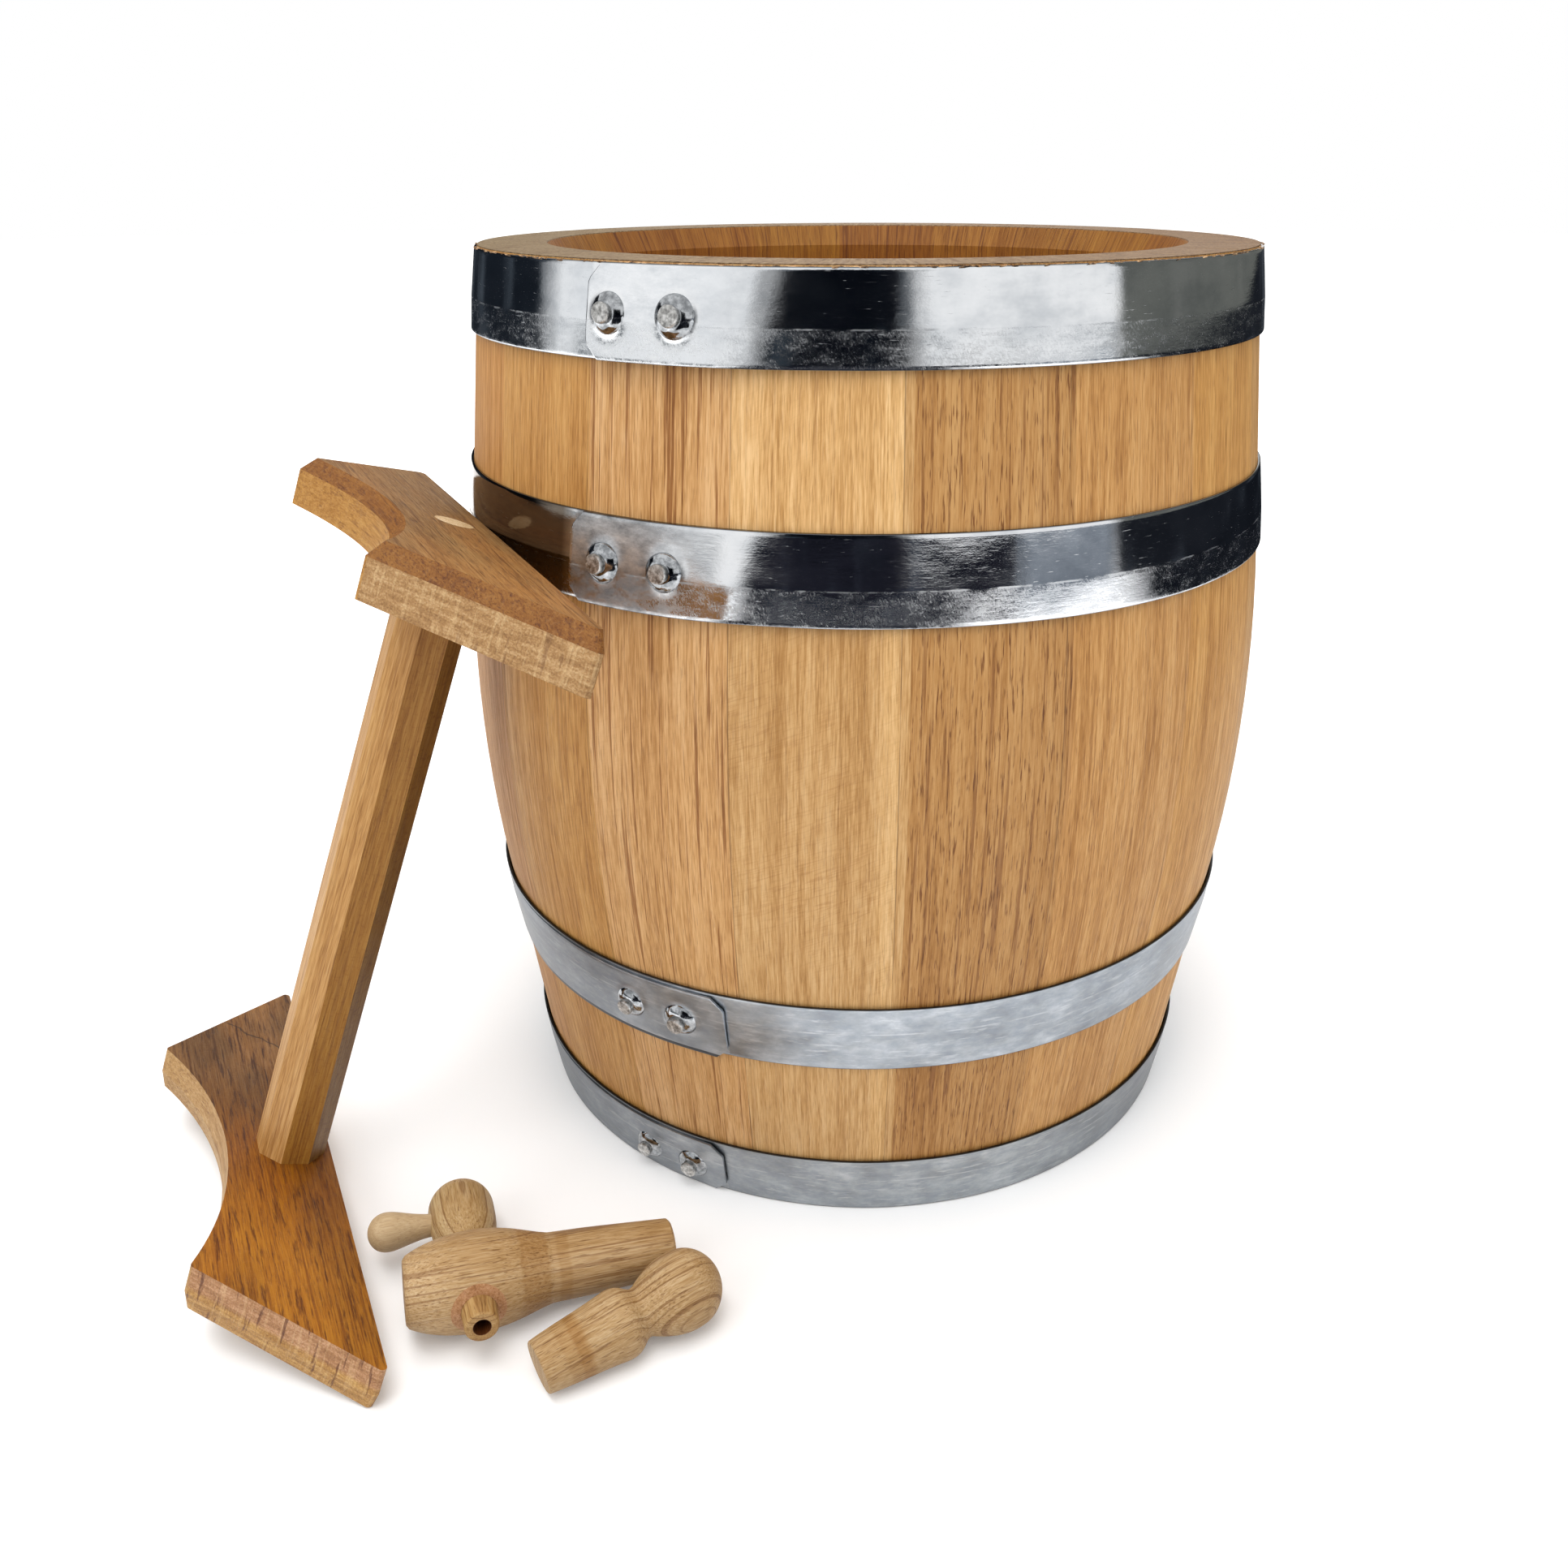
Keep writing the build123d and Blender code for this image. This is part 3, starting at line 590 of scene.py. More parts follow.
def mirror_face(tree, strip, hoop, handled):
    """Rolled face like a mirror, scuffed below the crease, and duller on the lap; colour and roughness."""
    colour = add(tree, RAMP, {"stops": [(0.25, "c4c8cc"), (0.5, "e4e6e8"), (0.75, "f4f5f6")]}, strip.clouds)
    slanted = add(tree, TURN, {"rotation_type": "Z_AXIS"}, strip.flat, Angle=radians(62))
    rubbed = noise(tree, slanted, 0.5, (0.45, 1, 1), 4.0, 0.75)
    scuffed = add(tree, RANGE, None, weighed(tree, (strip.grime, 0.5), (rubbed, 0.5)), 0.44, 0.62)
    ragged = noise(tree, strip.flat, 7, detail=3.0)
    ragged = add(tree, MATH, "MULTIPLY_ADD", ragged, 1.8 * MM, strip.z)
    below = add(tree, RANGE, None, ragged, strip.crease + 0.5 * MM, strip.crease + 1.2 * MM, 1.0, 0.0)
    # the lap was handled most
    back = add(tree, MATH, "SUBTRACT", strip.angle, hoop.end)
    on_lap = product(tree, add(tree, RANGE, None, back, 0.0, 0.01),
                     add(tree, RANGE, None, back, 0.20, 0.36, 1.0, 0.0))
    lap_low, lap_high, lap_tint = handled
    dulled = product(tree, on_lap, add(tree, RANGE, None, strip.grime, 0.35, 0.65, lap_low, lap_high))
    greyed = product(tree, on_lap, add(tree, RANGE, None, strip.grime, 0.25, 0.75))
    colour = add(tree, MIX, BLEND, greyed, colour, linear(lap_tint))
    rough = add(tree, RANGE, None, strip.clouds, 0.3, 0.7, 0.04, 0.11)
    marks = weighed(tree, (strip.ridge, 0.25), (product(tree, below, scuffed), 0.24), (strip.scratch, 0.25),
                    (dulled, 1.0))
    return colour, add(tree, MATH, "ADD", rough, marks)


def satin_face(tree, strip):
    """Zinc grey and satin, with painted highlights in streaks along the strip and on the crease; colour and
    roughness.
    """
    colour = add(tree, RAMP, {"stops": [(0.3, "90959a"), (0.5, "b2b8be"), (0.7, "d2d8de")]}, strip.clouds)
    dull = add(tree, RANGE, None, strip.grime, 0.38, 0.62, 0.0, 0.5)
    colour = add(tree, MIX, BLEND, dull, colour, linear("939daa"))
    # painted highlights: lighter streaks along the strip, and a lighter line on the crease
    highlight_streak = add(tree, RANGE, None, noise(tree, strip.flat, 1.8, (0.14, 1, 1), 4.0, 0.65), 0.56, 0.66)
    bright = add(tree, MATH, "MAXIMUM", product(tree, highlight_streak, 0.4), product(tree, strip.ridge, 0.5))
    colour = add(tree, MIX, BLEND, bright, colour, linear("e2e6ea"))
    rough = add(tree, RANGE, None, strip.clouds, 0.3, 0.7, 0.30, 0.44)
    return colour, add(tree, MATH, "MULTIPLY_ADD", strip.scratch, 0.12, rough)


def hoop_steel(name, hoop):
    """Cold rolled steel strip, riveted and driven on with a hammer: like a mirror on the upper hoops, zinc
    grey and satin on the lower ones, with fine scratches and dents, and painted shade and reflections that
    darken it in places."""
    material, tree, shader = new_material(f"rolled_steel_{name}", Metallic=1.0)
    strip = StripFace(tree, hoop)
    if hoop.on_top:
        colour, rough = mirror_face(tree, strip, hoop, HANDLED[name])
    else:
        colour, rough = satin_face(tree, strip)
    # painted shade and reflections, by the angle round the hoop
    painted_hoop_shade = add(tree, RAMP, {"stops": [(0.5 + degrees / 360, shade) for degrees, shade in PAINTED_HOOP_SHADE[name]]},
               add(tree, MATH, "MULTIPLY_ADD", strip.angle, 1 / tau, 0.5))
    colour = add(tree, MIX, TINT, 1.0, colour, painted_hoop_shade)
    # painted shade along both sheared edges
    inside = within_band(tree, strip.z, hoop.low, hoop.high)
    edge = add(tree, RANGE, None, inside, 0.1 * MM, 0.35 * MM, 0.85, 0.0)
    colour = add(tree, MIX, TINT, edge, colour, linear("3c3d40"))
    rolled = noise(tree, strip.flat, 0.6, (0.04, 1, 1))
    height = weighed(tree, (rolled, 0.12), (strip.grime, 0.5), (strip.scratch, -0.08))
    bump = add(tree, BUMP, None, Strength=0.2 if hoop.on_top else 0.3, Distance=0.25 * MM, Height=height)
    feed(tree, shader, Base_Color=colour, Roughness=rough, Normal=bump)
    return material


def rivet_iron(name, shades, roughness, size, relief):
    """Soft iron, hammered cold: the struck end is pale and rough, the seat round it stays bright."""
    material, tree, shader = new_material(name, Metallic=1.0)
    place = add(tree, COORDS).outputs["Object"]
    patch = noise(tree, place, size, detail=3.0, roughness=0.65)
    colour = add(tree, RAMP, {"stops": list(zip((0.36, 0.5, 0.64), shades))}, patch)
    rough = add(tree, RANGE, None, patch, 0.35, 0.65, *roughness)
    bump = add(tree, BUMP, None, Strength=relief, Distance=0.2 * MM, Height=patch)
    feed(tree, shader, Base_Color=colour, Roughness=rough, Normal=bump)
    return material


# -----------------------------------------------------------------------------------------------------------
# Geometry Nodes: hoops, rivets, splinters
# -----------------------------------------------------------------------------------------------------------

def geometry_tree(name, **sizes):
    """Tree with a named input for each size; gives the tree and its input node's sockets."""
    tree = bpy.data.node_groups.new(name, "GeometryNodeTree")
    tree.interface.new_socket("Geometry", in_out="INPUT", socket_type="NodeSocketGeometry")
    for label, kind in sizes.items():
        tree.interface.new_socket(label.replace("_", " "), in_out="INPUT", socket_type="NodeSocket" + kind)
    tree.interface.new_socket("Geometry", in_out="OUTPUT", socket_type="NodeSocketGeometry")
    return tree, tree.nodes.new("NodeGroupInput").outputs


def end_tree(tree, geometry, finish):
    """Makes what is instanced real and gives it its finish."""
    real = add(tree, "GeometryNodeRealizeInstances", None, geometry)
    add(tree, "NodeGroupOutput", None, add(tree, "GeometryNodeSetMaterial", None, real, Material=finish))


def grow(name, tree, sizes, points=(), outwards=()):
    """Runs the tree on a mesh of these points and gives the result as a plain mesh object."""
    seed = bpy.data.objects.new(name, bpy.data.meshes.new(name))
    seed.data.from_pydata(points, [], [])
    if outwards:
        lean = seed.data.attributes.new("outwards", "FLOAT_VECTOR", "POINT")
        lean.data.foreach_set("vector", [c for v in outwards for c in v])
    bpy.context.scene.collection.objects.link(seed)
    maker = seed.modifiers.new("maker", "NODES")
    maker.node_group = tree
    labels = {item.name: item.identifier for item in tree.interface.items_tree if item.in_out == "INPUT"}
    for label, value in sizes.items():
        maker[labels[label]] = value
    settle(seed, maker)
    return seed


def settle(obj, modifier):
    """Bakes the modifier into the mesh."""
    bpy.context.view_layer.update()
    made = bpy.data.meshes.new_from_object(obj.evaluated_get(bpy.context.evaluated_depsgraph_get()))
    obj.modifiers.remove(modifier)
    obj.data = made


def belongs(piece, body, slot, *replaced):
    """Says which body carries the piece and the solids' pieces that it stands for; its slot is not used."""
    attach(piece, body)
    if replaced:
        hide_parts(*replaced)


def strip_radius(tree, size, y, z, height):
    """Radius of a point of the strip on the staves, with its flare and crease; y is its place across the
    width and z through the thickness, both from -0.5 to 0.5."""
    share = add(tree, MATH, "MULTIPLY_ADD", y, size["Side"], 0.5)
    end_height = add(tree, MATH, "MINIMUM", height, add(tree, MATH, "SUBTRACT", CASK_H, height))
    radius = add(tree, MATH, "MULTIPLY_ADD", end_height, END_SLOPE, RIM_R)
    radius = add(tree, MATH, "MULTIPLY_ADD", share, STRIP_FLARE, radius)
    rise = product(tree, share, CREASE / CREASE_AT)
    fall = CREASE / (1 - CREASE_AT)
    fall = add(tree, MATH, "MULTIPLY_ADD", share, -fall, fall)
    radius = add(tree, MATH, "ADD", radius, add(tree, MATH, "MINIMUM", rise, fall))
    return add(tree, MATH, "MULTIPLY_ADD", z, STRIP_T, radius)


def lap_radius(tree, size, radius, turn, back, y, height):
    """Outer layer of the lap: it sinks into the inner one, springs off a little at the free end, tilts, and
    bulges round the rivets."""
    lift = add(tree, MATH, "MULTIPLY_ADD", add(tree, MATH, "COSINE", turn), STRIP_T * (1 + LAP_FADE),
               -STRIP_T * LAP_FADE)
    radius = add(tree, MATH, "ADD", radius, lift)
    smooth = {"interpolation_type": "SMOOTHSTEP"}
    spring = add(tree, RANGE, smooth, back, 0.0, 12 * MM, size["Spring"], 0.0)
    radius = add(tree, MATH, "ADD", radius, spring)
    tilt = product(tree, add(tree, MATH, "SUBTRACT", TILT_MIDDLE, y), size["Tilt"],
                   add(tree, RANGE, None, back, 42 * MM, 70 * MM, 1.0, 0.0))
    radius = add(tree, MATH, "ADD", radius, tilt)
    for rivet in ("First rivet", "Second rivet"):
        away = add(tree, JOIN, None, add(tree, MATH, "SUBTRACT", back, size[rivet]),
                   add(tree, MATH, "SUBTRACT", height, size["Rivet height"]), 0.0)
        far = add(tree, VECTOR, "LENGTH", away).outputs["Value"]
        bulge = add(tree, RANGE, smooth, far, 0.0, BULGE_R, BULGE_H, 0.0)
        radius = add(tree, MATH, "ADD", radius, bulge)
    return radius


def bent_strip(tree, size, low, high, length, columns, lap):
    """Flat bar of strip bent round the cask: X runs back from the free end, Y up and Z outwards."""
    bar = add(tree, "GeometryNodeMeshCube", None, (1, 1, 1), columns, STRIP_ROWS, 2)
    x, y, z = add(tree, SPLIT, None, add(tree, "GeometryNodeInputPosition")).outputs
    start = 0.0
    if lap:
        middle = add(tree, MATH, "SUBTRACT", 0.5, add(tree, MATH, "ABSOLUTE", y))
        inset = product(tree, middle, add(tree, MATH, "SUBTRACT", high, low))
        start = add(tree, MATH, "MAXIMUM", add(tree, MATH, "SUBTRACT", CORNER, inset), 0.0)
    else:
        # the ring has no end faces, because its two ends are merged
        at_end = add(tree, MATH, "GREATER_THAN", add(tree, MATH, "ABSOLUTE", x), 0.49999)
        bar = add(tree, "GeometryNodeDeleteGeometry", {"domain": "FACE"}, bar, at_end)
    back = add(tree, RANGE, None, x, -0.5, 0.5, start, length)
    turn = add(tree, MATH, "DIVIDE", back, size["Radius"])
    height = add(tree, RANGE, None, y, -0.5, 0.5, low, high)
    backwards = product(tree, size["Side"], -1.0)
    angle = add(tree, MATH, "MULTIPLY_ADD", turn, backwards, size["Free end"])
    sine, cosine = (add(tree, MATH, kind, angle) for kind in ("SINE", "COSINE"))

    radius = strip_radius(tree, size, y, z, height)
    # hammer work: the strip is never quite round or flat
    spot = add(tree, JOIN, None, product(tree, sine, RIM_R), product(tree, cosine, RIM_R), height)
    for feature, swing in HAMMERED:
        dent = noise(tree, spot, feature, detail=1.0)
        radius = add(tree, MATH, "MULTIPLY_ADD", dent, swing * MM, radius)
    mean_dent = sum(swing for _, swing in HAMMERED) * MM / 2
    radius = add(tree, MATH, "ADD", radius, STRIP_T / 2 - mean_dent)
    if lap:
        radius = lap_radius(tree, size, radius, turn, back, y, height)
    bent = add(tree, JOIN, None, product(tree, radius, sine), product(tree, radius, cosine, -1.0), height)
    bar = add(tree, "GeometryNodeSetPosition", None, bar, Position=bent)
    return bar if lap else add(tree, "GeometryNodeMergeByDistance", None, bar, Distance=0.01 * MM)


def hoop_tree():
    """A riveted hoop: the closed ring and, over it, the free end of the strip."""
    floats = ("Low", "High", "Lap low", "Lap high", "Radius", "Free end", "Side", "First rivet",
              "Second rivet", "Rivet height", "Spring", "Tilt")
    tree, size = geometry_tree("hoop", **{f: "Float" for f in floats}, Finish="Material")
    around = product(tree, size["Radius"], tau)
    ring = bent_strip(tree, size, size["Low"], size["High"], around, RING_COLUMNS, lap=False)
    over = product(tree, size["Radius"], LAP)
    lap = bent_strip(tree, size, size["Lap low"], size["Lap high"], over, LAP_COLUMNS, lap=True)
    both = add(tree, "GeometryNodeJoinGeometry")
    for part in (ring, lap):
        tree.links.new(part.outputs[0], both.inputs[0])
    end_tree(tree, both, size["Finish"])
    return tree


def hoop_strip(tree, name, hoop):
    """One hoop, with its edges rounded a little."""
    first, second = hoop.rivets_back
    piece = grow(f"{name}_strip", tree, {
        "Low": hoop.low, "High": hoop.high, "Lap low": max(hoop.low - hoop.slip, FLOOR_CLEAR),
        "Lap high": hoop.high - hoop.slip, "Radius": hoop.radius, "Free end": hoop.end, "Side": hoop.side,
        "First rivet": first, "Second rivet": second, "Rivet height": hoop.rivet_z, "Spring": hoop.spring,
        "Tilt": hoop.tilt, "Finish": hoop_steel(name, hoop)})
    rounding = piece.modifiers.new("edges", "BEVEL")
    rounding.width = 0.16 * MM
    rounding.segments = 2
    rounding.limit_method = "ANGLE"
    rounding.angle_limit = radians(55)
    settle(piece, rounding)
    for face in piece.data.polygons:
        face.use_smooth = True
    piece.data.set_sharp_from_angle(angle=radians(40))
    belongs(piece, "cask", "hoop_steel", name)


def lathe(name, profile, around=36):
    """Closed shell turned about +Z from (radius, height) points; the first and last lie on the axis."""
    points = [(0.0, 0.0, profile[0][1])]
    for r, h in profile[1:-1]:
        points += [(r * cos(tau * k / around), r * sin(tau * k / around), h) for k in range(around)]
    points.append((0.0, 0.0, profile[-1][1]))
    faces = [(0, 1 + (k + 1) % around, 1 + k) for k in range(around)]
    for ring in range(len(profile) - 3):
        a, b = 1 + ring * around, 1 + (ring + 1) * around
        faces += [(a + k, a + (k + 1) % around, b + (k + 1) % around, b + k) for k in range(around)]
    last = 1 + (len(profile) - 3) * around
    faces += [(last + k, last + (k + 1) % around, len(points) - 1) for k in range(around)]
    mesh = bpy.data.meshes.new(name)
    mesh.from_pydata([tuple(c * MM for c in p) for p in points], [], faces)
    for face in mesh.polygons:
        face.use_smooth = True
    return mesh


def rivet_tree():
    """Rivets on points, each turned outwards and a little different in size."""
    tree, size = geometry_tree("rivets", Rivet="Object", Smallest="Float", Largest="Float", Seed="Int",
                               Finish="Material")
    shape = add(tree, "GeometryNodeObjectInfo", None, size["Rivet"]).outputs["Geometry"]
    out = add(tree, "GeometryNodeInputNamedAttribute", {"data_type": "FLOAT_VECTOR"}, "outwards")
    turn = add(tree, "FunctionNodeAlignRotationToVector", {"axis": "Z"}, Vector=out)
    spread = add(tree, "FunctionNodeRandomValue", {"data_type": "FLOAT"}, Min=size["Smallest"],
                 Max=size["Largest"], Seed=size["Seed"])
    placed = add(tree, "GeometryNodeInstanceOnPoints", None, size["Geometry"], Instance=shape, Rotation=turn,
                 Scale=spread)
    end_tree(tree, placed, size["Finish"])
    return tree


def rivet_places():
    """Where the rivets come through the laps, and the way they point."""
    for hoop in HOOPS.values():
        width = hoop.high - hoop.low
        slope = END_SLOPE + STRIP_FLARE / width
        above_middle = (hoop.rivet_z - hoop.low) / width - 0.5
        tilted = hoop.tilt * (TILT_MIDDLE - above_middle)
        off_cone = STRIP_FLARE / 2 + STRIP_T + CREASE / 2 + tilted + SEAT_PROUD
        for along in hoop.rivets_back:
            back = along / hoop.radius
            angle = hoop.end - hoop.side * back
            lift = STRIP_T * ((1 + LAP_FADE) * cos(back) - LAP_FADE)
            face = cone_r(hoop.rivet_z) + lift + off_cone
            place = face * sin(angle), -face * cos(angle), hoop.rivet_z
            yield place, Vector((sin(angle), -cos(angle), -hoop.side * slope)).normalized()


def rivets():
    """Shanks hammered over drawn-up seats, which are part of the bulge that a rivet leaves in the strip."""
    points, outwards = zip(*rivet_places())
    tree = rivet_tree()
    seat_iron = rivet_iron("bright_iron_seats", ("7a7d80", "9c9fa2", "c0c3c6"), (0.06, 0.16), 2.2, 0.12)
    end_iron = rivet_iron("hammered_iron_ends", ("858482", "b5b4b1", "dedddb"), (0.32, 0.5), 1.3, 0.5)
    nodes = [f"{name}_rivet_{i}" for name in HOOPS for i in (1, 2)]
    for name, profile, iron, replaced in (("rivet_seats", SEAT, seat_iron, ()),
                                          ("rivet_shanks", SHANK, end_iron, nodes)):
        master = bpy.data.objects.new(f"{name}_master", lathe(f"{name}_master", profile))
        bpy.context.scene.collection.objects.link(master)
        sizes = {"Rivet": master, "Smallest": 0.95, "Largest": 1.04, "Seed": 4, "Finish": iron}
        piece = grow(name, tree, sizes, points, outwards)
        bpy.data.objects.remove(master)
        piece.data.set_sharp_from_angle(angle=radians(38))
        belongs(piece, "cask", "rivet_steel", *replaced)


def splinter_tree():
    """Torn fibres along an edge: flakes scattered round a circle, each with its own turn and size."""
    floats = ("Radius", "Height", "Spread", "Smallest", "Largest")
    tree, size = geometry_tree("splinters", **{f: "Float" for f in floats}, Count="Int", Seed="Int",
                               Finish="Material")

    def chance(low, high, seed):
        return add(tree, "FunctionNodeRandomValue", {"data_type": "FLOAT"}, Min=low, Max=high,
                   Seed=add(tree, MATH, "ADD", size["Seed"], float(seed)))

    line = add(tree, "GeometryNodeMeshLine", None, size["Count"])
    angle = chance(0.0, tau, 1)
    out = add(tree, MATH, "ADD", size["Radius"], chance(0.0, size["Spread"], 2))
    sine, cosine = (add(tree, MATH, kind, angle) for kind in ("SINE", "COSINE"))
    place = add(tree, JOIN, None, product(tree, sine, out), product(tree, cosine, out, -1.0), size["Height"])
    line = add(tree, "GeometryNodeSetPosition", None, line, Position=place)
    flake = add(tree, "GeometryNodeMeshIcoSphere", None, 1.0, 2)
    thin = add(tree, JOIN, None, 1.0, 0.32, 0.12)
    turned = add(tree, MATH, "ADD", angle, chance(-0.5, 0.5, 5))
    lean = add(tree, JOIN, None, chance(-0.5, 0.5, 3), chance(-0.12, 0.12, 4), turned)
    much = add(tree, VECTOR, "SCALE", thin, Scale=chance(size["Smallest"], size["Largest"], 6))
    placed = add(tree, "GeometryNodeInstanceOnPoints", None, line, Instance=flake, Rotation=lean, Scale=much)
    end_tree(tree, placed, size["Finish"])
    return tree


def rim_splinters():
    rim = grow("rim_splinters", splinter_tree(), {
        "Radius": RIM_R - 0.3 * MM, "Height": CASK_H - 0.7 * MM, "Spread": 1.6 * MM, "Smallest": 0.4 * MM,
        "Largest": 2.1 * MM, "Count": 620, "Seed": 11, "Finish": torn_fibre()})
    belongs(rim, "cask", "stave_oak")


# -----------------------------------------------------------------------------------------------------------
# Materials on the solids' own pieces
# -----------------------------------------------------------------------------------------------------------

def dress_staves():
    oak = stave_oak()
    for i in range(STAVES):
        wear(NODES[f"stave_{i + 1:02d}"], oak)


def dress_heads():
    """Heads of planed, unvarnished oak: five boards, of which no two are alike, with dark joints between."""
    for i, (light, dark, streaks, pores) in enumerate(HEAD_BOARDS):
        sides = [v.co.y for v in NODES[f"head_top_board_{i + 1}"].data.vertices]
        elsewhere_in_the_log = (0.3 * i, 0, 0)
        own = frame_of((0, 1, 0), (1, 0, 0), elsewhere_in_the_log)
        oak = plain_wood(f"planed_oak_head_board_{i + 1}", own, (dark, light), streaks=streaks, pores=pores,
                         line=2.2, joints=(min(sides), max(sides)))
        for end in ("bottom", "top"):
            wear(NODES[f"head_{end}_board_{i + 1}"], oak)


def dress_stand():
    """Plates and bar of oiled oak, and dowels of beech sanded flush, whose ends are pale and plain."""
    along = (-sin(STAND_TURN), cos(STAND_TURN), 0)
    up = (sin(STAND_LEAN) * cos(STAND_TURN), sin(STAND_LEAN) * sin(STAND_TURN), cos(STAND_LEAN))
    plates = frame_of(up, along, STAND_AT)
    upper = plate_oak("oiled_oak_upper_plate", plates, near=("9a6f3d", "88683e"), far=("9a6f3d", "88683e"),
                      bevel="845515", end=("c49f71", "c6a375"), wall="ba8b46", strokes=0.4)
    lower = plate_oak("oiled_oak_lower_plate", plates, near=("ad7218", "845611"), far=("946a3c", "6b4c2a"),
                      bevel="c2946c", end=("cda362", "c79b75"), wall="bb9660", strokes=0.8, foot=(-6, -4),
                      shake=(58, 0.93, -30, -4))
    beech = plain_wood("sanded_beech_dowels", frame_of(along, up, STAND_AT), ("cdb592", "d6c09e"),
                       line=0.8, streaks=0.1)
    wear(NODES["stand_plate_upper"], upper)
    wear(NODES["stand_plate_lower"], lower)
    wear(NODES["stand_bar"], bar_oak(frame_of(-Vector(along), up, STAND_AT)))
    for end in ("upper", "lower"):
        wear(NODES[f"stand_dowel_{end}"], beech)


def dress_tap_and_bung():
    """Oak turned on a lathe and left dry: the figure shows as rings and long loops. The tap's handle is a
    plainer piece, and its sleeve is cork, cut rough, with short dark flecks."""
    turned = {"streaks": 0.8, "pores": 0.7, "band": 8.0, "wander": 2.5}
    tail = (cos(TAP_DROOP) * cos(TAP_TURN), cos(TAP_DROOP) * sin(TAP_TURN), -sin(TAP_DROOP))
    along_body, along_key = frame_of(TAP_KEY, tail, TAP_AT), frame_of(tail, TAP_KEY, TAP_AT)
    along_bung = frame_of((0, 0, 1), (cos(BUNG_TURN), sin(BUNG_TURN), BUNG_RISE), BUNG_AT)
    wear(NODES["tap_body"], plain_wood(
        "turned_oak_tap", along_body, ("b7996f", "c5aa84"), pith=(30, 62), line=1.2, bore=(3.0, 1.0),
        stain=((15, 24, "efe4d2"), (27, 31, "f2eadc")), **turned))
    wear(NODES["tap_key"], plain_wood(
        "turned_oak_key", along_key, ("b99c71", "c3ac82"), pith=(1, -15), line=1.3, bore=(3.0, -1.0),
        stain=((-60, -13, "efdfc4"),), **turned))
    wear(NODES["tap_handle"], plain_wood(
        "turned_oak_handle", along_body, ("baa17c", "c7b18f"), pith=(14, 20), line=1.4, depth=0.5,
        streaks=0.2, pores=0.3))
    wear(NODES["tap_sleeve"], plain_wood(
        "rough_cork_sleeve", along_key, ("a87a55", "b98c66"), line=0.8, band=3.0, rays=0.4))
    wear(NODES["bung"], plain_wood(
        "turned_oak_bung", along_bung, ("b79a71", "c4aa84"), pith=(-15, 62), line=1.6,
        stain=((8, 15, "f3ebdc"), (12, 16, "eee2cc")), **turned))


# -----------------------------------------------------------------------------------------------------------
# Studio
# -----------------------------------------------------------------------------------------------------------

def seen_directly(tree):
    """1 for rays that show the background itself: camera, mirror and glass rays."""
    rays = add(tree, "ShaderNodeLightPath").outputs
    either = add(tree, MATH, "MAXIMUM", rays["Is Camera Ray"], rays["Is Glossy Ray"])
    return add(tree, MATH, "MAXIMUM", either, rays["Is Transmission Ray"])


def world(ambient):
    """White to the eye and in mirrors, and a softer light all round on the pieces."""
    bpy.context.scene.world = bpy.data.worlds.new("studio")
    tree = bare_tree(bpy.context.scene.world)
    strength = add(tree, RANGE, None, seen_directly(tree), 0, 1, ambient, 1.0)
    sky = add(tree, "ShaderNodeBackground", None, (1, 1, 1, 1), strength)
    add(tree, "ShaderNodeOutputWorld", None, sky)


def sheet(name, points, faces, material):
    """Flat or curved sheet that belongs to the studio and not to the object."""
    mesh = bpy.data.meshes.new(name)
    mesh.from_pydata(points, [], faces)
    made = bpy.data.objects.new(name, mesh)
    bpy.context.scene.collection.objects.link(made)
    wear(made, material)
    return made


def floor():
    """White paper sweep: plain diffuse paper to the light that bounces; to the eye it fades to bare white with
    the distance and keeps the shadow near the pieces."""
    material = bpy.data.materials.new("white_paper_floor")
    tree = bare_tree(material)
    place = add(tree, COORDS).outputs["Object"]
    paper = add(tree, "ShaderNodeBsdfDiffuse", None, (0.72, 0.72, 0.72, 1))
    glow = add(tree, RANGE, None, add(tree, VECTOR, "LENGTH", place).outputs["Value"], 0.3, 1.2, 0.12, 0.9)
    bright = add(tree, "ShaderNodeBsdfDiffuse", None, (0.90, 0.90, 0.90, 1))
    lit = add(tree, "ShaderNodeAddShader", None, bright,
              add(tree, "ShaderNodeEmission", None, (1, 1, 1, 1), glow))
    both = add(tree, "ShaderNodeMixShader", None, seen_directly(tree), paper, lit)
    add(tree, "ShaderNodeOutputMaterial", None, both)
    around, reach = 96, 8.0
    rim = [(reach * cos(tau * k / around), reach * sin(tau * k / around), 0.0) for k in range(around)]
    sheet("floor", rim, [list(range(around))], material)


def card_paint(name, shade, patch, first, last, soft):
    """Card with ragged, cloudy sides and patches of another tone."""
    material = bpy.data.materials.new(name)
    tree = bare_tree(material)
    place = add(tree, COORDS).outputs["Object"]
    x, y, _ = add(tree, SPLIT, None, place).outputs
    middle, half = radians((first + last) / 2), radians((last - first) / 2)
    ragged = add(tree, MATH, "MULTIPLY_ADD", noise(tree, place, 260, detail=3.0), radians(soft),
                 apart(tree, from_front(tree, x, y), middle))
    cover = add(tree, RANGE, None, ragged, half - radians(soft * 0.2), half + radians(soft * 0.7), 1.0, 0.0)
    mottle = add(tree, RANGE, None, noise(tree, place, 420, detail=3.0), 0.52, 0.70)
    paint = add(tree, "ShaderNodeEmission", None, add(tree, MIX, BLEND, mottle, linear(shade), linear(patch)))
    both = add(tree, "ShaderNodeMixShader", None, cover, add(tree, "ShaderNodeBsdfTransparent"), paint)
    add(tree, "ShaderNodeOutputMaterial", None, both)
    return material


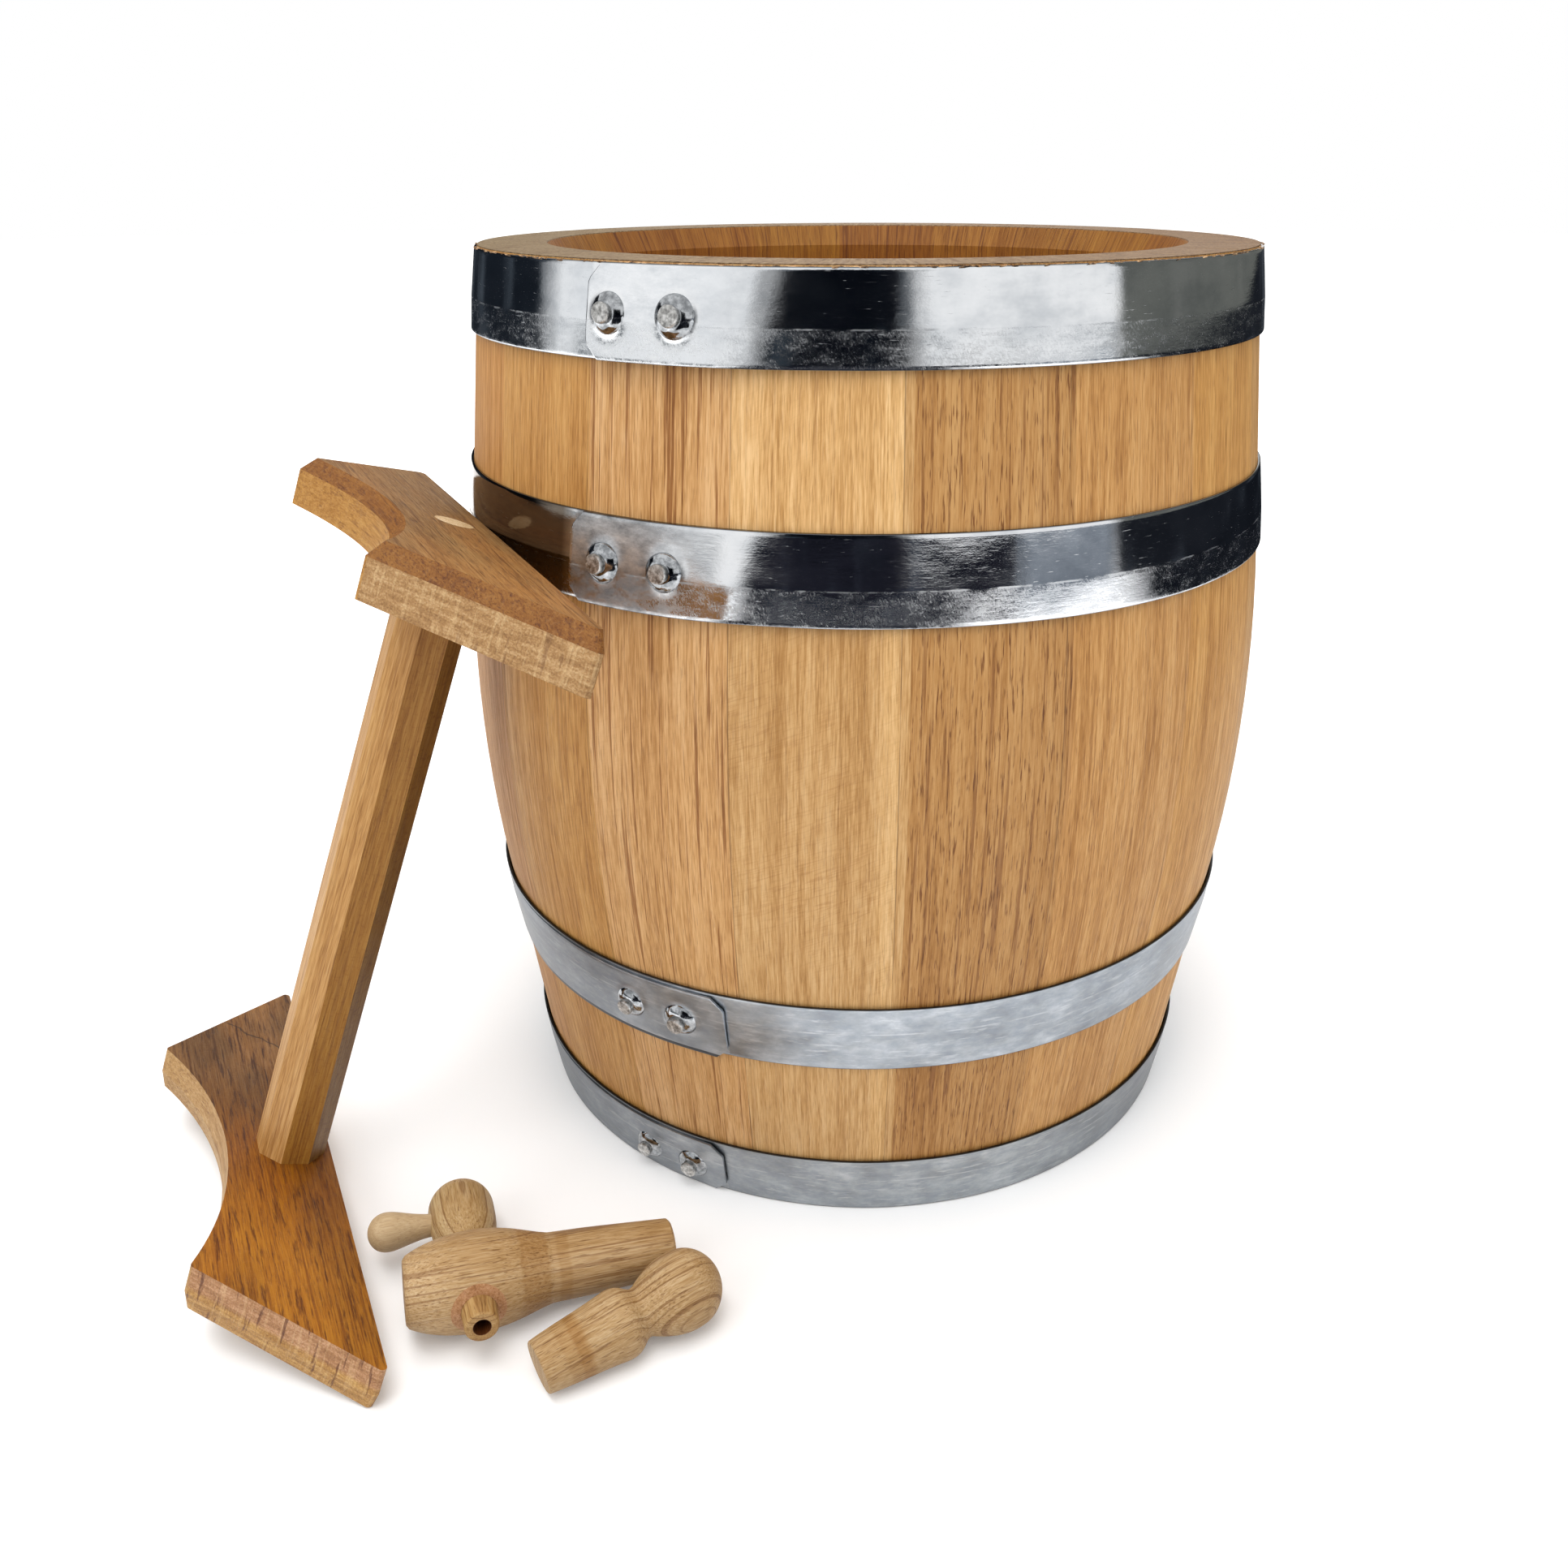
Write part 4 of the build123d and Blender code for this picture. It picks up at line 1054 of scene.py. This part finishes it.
def card(name, first, last, low, high, shade, patch, soft=9.0, reach=2.2, inner=None):
    """Curved card of the studio, seen only in the metal: angles from the front in degrees, heights in metres.
    With an inner radius it lies flat on the floor instead."""
    count = 24
    ring = [radians(first - soft + (last - first + 2 * soft) * k / count) for k in range(count + 1)]
    rows = ((reach, low), (reach, high)) if inner is None else ((inner, low), (reach, low))
    points = [(r * sin(a), -r * cos(a), h) for r, h in rows for a in ring]
    faces = [(k, k + 1, k + count + 2, k + count + 1) for k in range(count)]
    made = sheet(name, points, faces, card_paint(name, shade, patch, first, last, soft))
    made.visible_camera = made.visible_diffuse = made.visible_shadow = made.visible_transmission = False


def softbox(name, at, aim, size, power):
    light = bpy.data.lights.new(name, "AREA")
    light.shape = "RECTANGLE"
    light.size, light.size_y = size
    light.energy = power
    lamp = bpy.data.objects.new(name, light)
    lamp.location = at
    lamp.rotation_euler = (Vector(aim) - Vector(at)).to_track_quat("-Z", "Y").to_euler()
    lamp.visible_glossy = False
    bpy.context.scene.collection.objects.link(lamp)


def camera():
    """Standing in front, a little to the right, looking 26 degrees down."""
    data = bpy.data.cameras.new("camera")
    data.sensor_width, data.lens = 36.0, 30.255
    data.shift_x, data.shift_y = -0.0167, 0.0107
    data.clip_start, data.clip_end = 0.01, 50.0
    viewer = bpy.data.objects.new("camera", data)
    viewer.location = (0.045559, -0.500609, 0.343645)
    viewer.rotation_euler = (radians(64.18816), radians(0.14442), radians(7.38760))
    bpy.context.scene.collection.objects.link(viewer)
    bpy.context.scene.camera = viewer


def studio():
    camera()
    world(0.54)
    floor()
    softbox("overhead", (-0.3, 0.2, 1.9), (0, 0, 0.1), (1.8, 1.8), 28.0)
    softbox("front_left", (-1.3, -1.6, 1.5), (0, 0, 0.15), (1.4, 1.4), 13.0)
    softbox("above_front", (0.15, -0.95, 2.1), (0, 0, 0.2), (1.0, 1.0), 15.0)
    softbox("right", (1.7, -0.9, 1.3), (0, 0, 0.2), (1.2, 1.2), 5.0)
    card("card_front", -21, 23, 0.38, 1.3, "0c0f15", "3c454e", 10.0)
    card("card_front_low", -24, 48, 0.01, 0.38, "1e1f28", "434853", 5.0)
    card("card_right_low", 43, 76, 0.02, 0.38, "868d96", "a8b0b8", 5.0)
    card("card_right_wall", 74, 165, 0.32, 1.3, "666864", "72736f", 4.0)
    card("card_right_foot", 72, 165, 0.0, 0.32, "1c1f25", "454a52", 5.0)
    card("card_lap", -80, -29, 0.40, 1.3, "fafbfc", "ffffff", 8.0)
    card("card_lap_low", -80, -29, 0.01, 0.40, "7e8285", "c4c7ca", 6.0)
    card("card_left", -165, -86, 0.0, 1.3, "1b2027", "4b525a")
    card("card_floor_right", 78, 185, 0.004, 0.0, "15181e", "30353c", 12.0, inner=0.75)
    card("card_floor_front", -30, 34, 0.004, 0.0, "23252c", "50565e", 10.0, inner=0.6)


def main():
    dress_staves()
    tree = hoop_tree()
    for name, hoop in HOOPS.items():
        hoop_strip(tree, name, hoop)
    rivets()
    rim_splinters()
    dress_heads()
    dress_stand()
    dress_tap_and_bung()
    studio()


main()
bpy.context.scene.view_settings.view_transform = "Standard"
